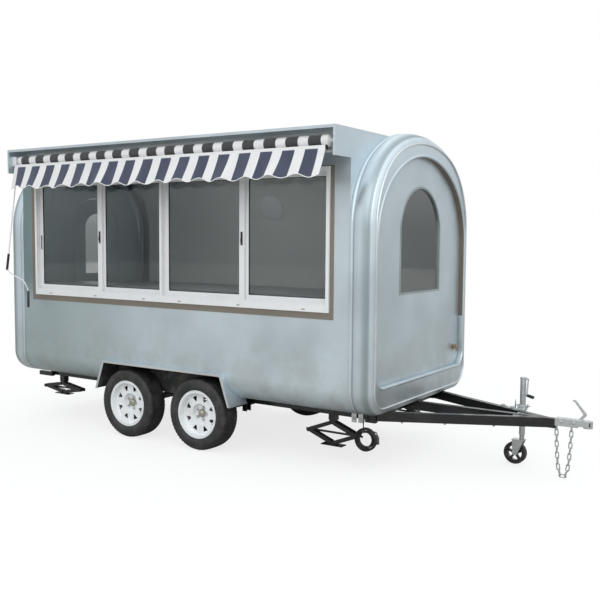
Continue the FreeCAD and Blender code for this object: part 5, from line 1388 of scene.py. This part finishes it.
def add_world(strength):
    """Outdoor light: darker band at the horizon, bright low clouds, soft sky; white for the camera."""
    world = bpy.data.worlds.new("soft_sky")
    bpy.context.scene.world = world
    world.use_nodes = True
    tree = world.node_tree
    tree.nodes.clear()
    output = tree.nodes.new("ShaderNodeOutputWorld")
    sky = tree.nodes.new("ShaderNodeBackground")
    white = tree.nodes.new("ShaderNodeBackground")
    blend = tree.nodes.new("ShaderNodeMixShader")
    ray = tree.nodes.new("ShaderNodeLightPath")
    place = tree.nodes.new("ShaderNodeTexCoord")
    parts = tree.nodes.new("ShaderNodeSeparateXYZ")
    ramp = tree.nodes.new("ShaderNodeValToRGB")
    ramp.color_ramp.interpolation = "EASE"
    for index, (stop, grey) in enumerate(SKY_STOPS):
        points = ramp.color_ramp.elements
        point = points[index] if index < 2 else points.new(stop)
        point.position = stop
        point.color = (grey * 0.97, grey, grey * 1.02, 1)
    scale = tree.nodes.new("ShaderNodeMapRange")
    scale.inputs[1].default_value = -1
    scale.inputs[2].default_value = 1
    tree.links.new(place.outputs["Generated"], parts.inputs[0])
    tree.links.new(parts.outputs[2], scale.inputs[0])
    tree.links.new(scale.outputs[0], ramp.inputs[0])
    tree.links.new(ramp.outputs[0], sky.inputs["Color"])
    sky.inputs["Strength"].default_value = strength
    white.inputs["Color"].default_value = (1, 1, 1, 1)
    tree.links.new(ray.outputs["Is Camera Ray"], blend.inputs[0])
    tree.links.new(sky.outputs[0], blend.inputs[1])
    tree.links.new(white.outputs[0], blend.inputs[2])
    tree.links.new(blend.outputs[0], output.inputs["Surface"])


def add_lamp(name, place, target, watts, size):
    """Square area lamp that points at a target."""
    light = bpy.data.lights.new(name, "AREA")
    light.energy = watts
    light.size = size
    lamp = bpy.data.objects.new(name, light)
    bpy.context.scene.collection.objects.link(lamp)
    lamp.location = place
    aim = Vector(target) - Vector(place)
    lamp.rotation_euler = aim.to_track_quat("-Z", "Y").to_euler()


def add_camera(sizes):
    """Camera with the photograph's place, direction and lens."""
    yaw, pitch, roll = sizes.yaw, sizes.pitch, sizes.roll
    ahead = np.array([-math.sin(yaw) * math.cos(pitch), math.cos(yaw) * math.cos(pitch), -math.sin(pitch)])
    right = np.array([math.cos(yaw), math.sin(yaw), 0.0])
    up = np.cross(right, ahead)
    right, up = (right * math.cos(roll) + up * math.sin(roll),
                 -right * math.sin(roll) + up * math.cos(roll))
    data = bpy.data.cameras.new("photo_camera")
    data.sensor_fit = "HORIZONTAL"
    data.sensor_width = 36.0
    data.lens = sizes.lens
    data.clip_end = 200
    camera = bpy.data.objects.new("photo_camera", data)
    bpy.context.scene.collection.objects.link(camera)
    matrix = Matrix.Identity(4)
    for row in range(3):
        matrix[row][0], matrix[row][1], matrix[row][2] = right[row], up[row], -ahead[row]
        matrix[row][3] = placed(sizes.eye)[row]
    camera.matrix_world = matrix
    bpy.context.scene.camera = camera


class TRAILER_OT_finishes(bpy.types.Operator):
    """Finishes of every CAD node"""
    bl_idname = "trailer.finishes"
    bl_label = "Finishes"

    def execute(self, context):
        make_finishes(context.scene.trailer_look, context.scene.trailer_awning)
        for finish, names in NODE_FINISH.items():
            for name in names:
                node = NODES[name]
                node.data.materials.clear()
                node.data.materials.append(FINISHES[finish])
        return {"FINISHED"}


class TRAILER_PT_panel(bpy.types.Panel):
    """Lists the trailer's operators"""
    bl_idname = "TRAILER_PT_panel"
    bl_label = "Food trailer"
    bl_space_type = "VIEW_3D"
    bl_region_type = "UI"
    bl_category = "Trailer"

    def draw(self, context):
        for operator in OPERATORS:
            self.layout.operator(operator.bl_idname)


GROUPS = (("trailer_look", TrailerLook), ("trailer_stage", StageSizes), ("trailer_wheels", WheelSizes),
          ("trailer_awning", AwningSizes))
OPERATORS = (TRAILER_OT_finishes, TRAILER_OT_stage, TRAILER_OT_cable, TRAILER_OT_end_caps,
             TRAILER_OT_tyres, TRAILER_OT_wheel_fittings, TRAILER_OT_awning_cloth,
             TRAILER_OT_awning_hardware, TRAILER_OT_window_fittings, TRAILER_OT_mudguards,
             TRAILER_OT_drawbar_fittings, TRAILER_OT_cabin_lining,
             TRAILER_OT_body_details)


def register():
    """Adds the classes and their sizes to Blender."""
    for name, group in GROUPS:
        bpy.utils.register_class(group)
        setattr(bpy.types.Scene, name, PointerProperty(type=group))
    for operator in OPERATORS:
        bpy.utils.register_class(operator)
    bpy.utils.register_class(TRAILER_PT_panel)


def unregister():
    """Takes the classes and their sizes out again."""
    bpy.utils.unregister_class(TRAILER_PT_panel)
    for operator in reversed(OPERATORS):
        bpy.utils.unregister_class(operator)
    for name, group in reversed(GROUPS):
        delattr(bpy.types.Scene, name)
        bpy.utils.unregister_class(group)


def run(operator):
    """Calls one operator by its name."""
    family, name = operator.bl_idname.split(".")
    getattr(getattr(bpy.ops, family), name)()


def main():
    """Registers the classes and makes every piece."""
    register()
    for operator in OPERATORS:
        run(operator)


if __name__ == "__main__":
    main()
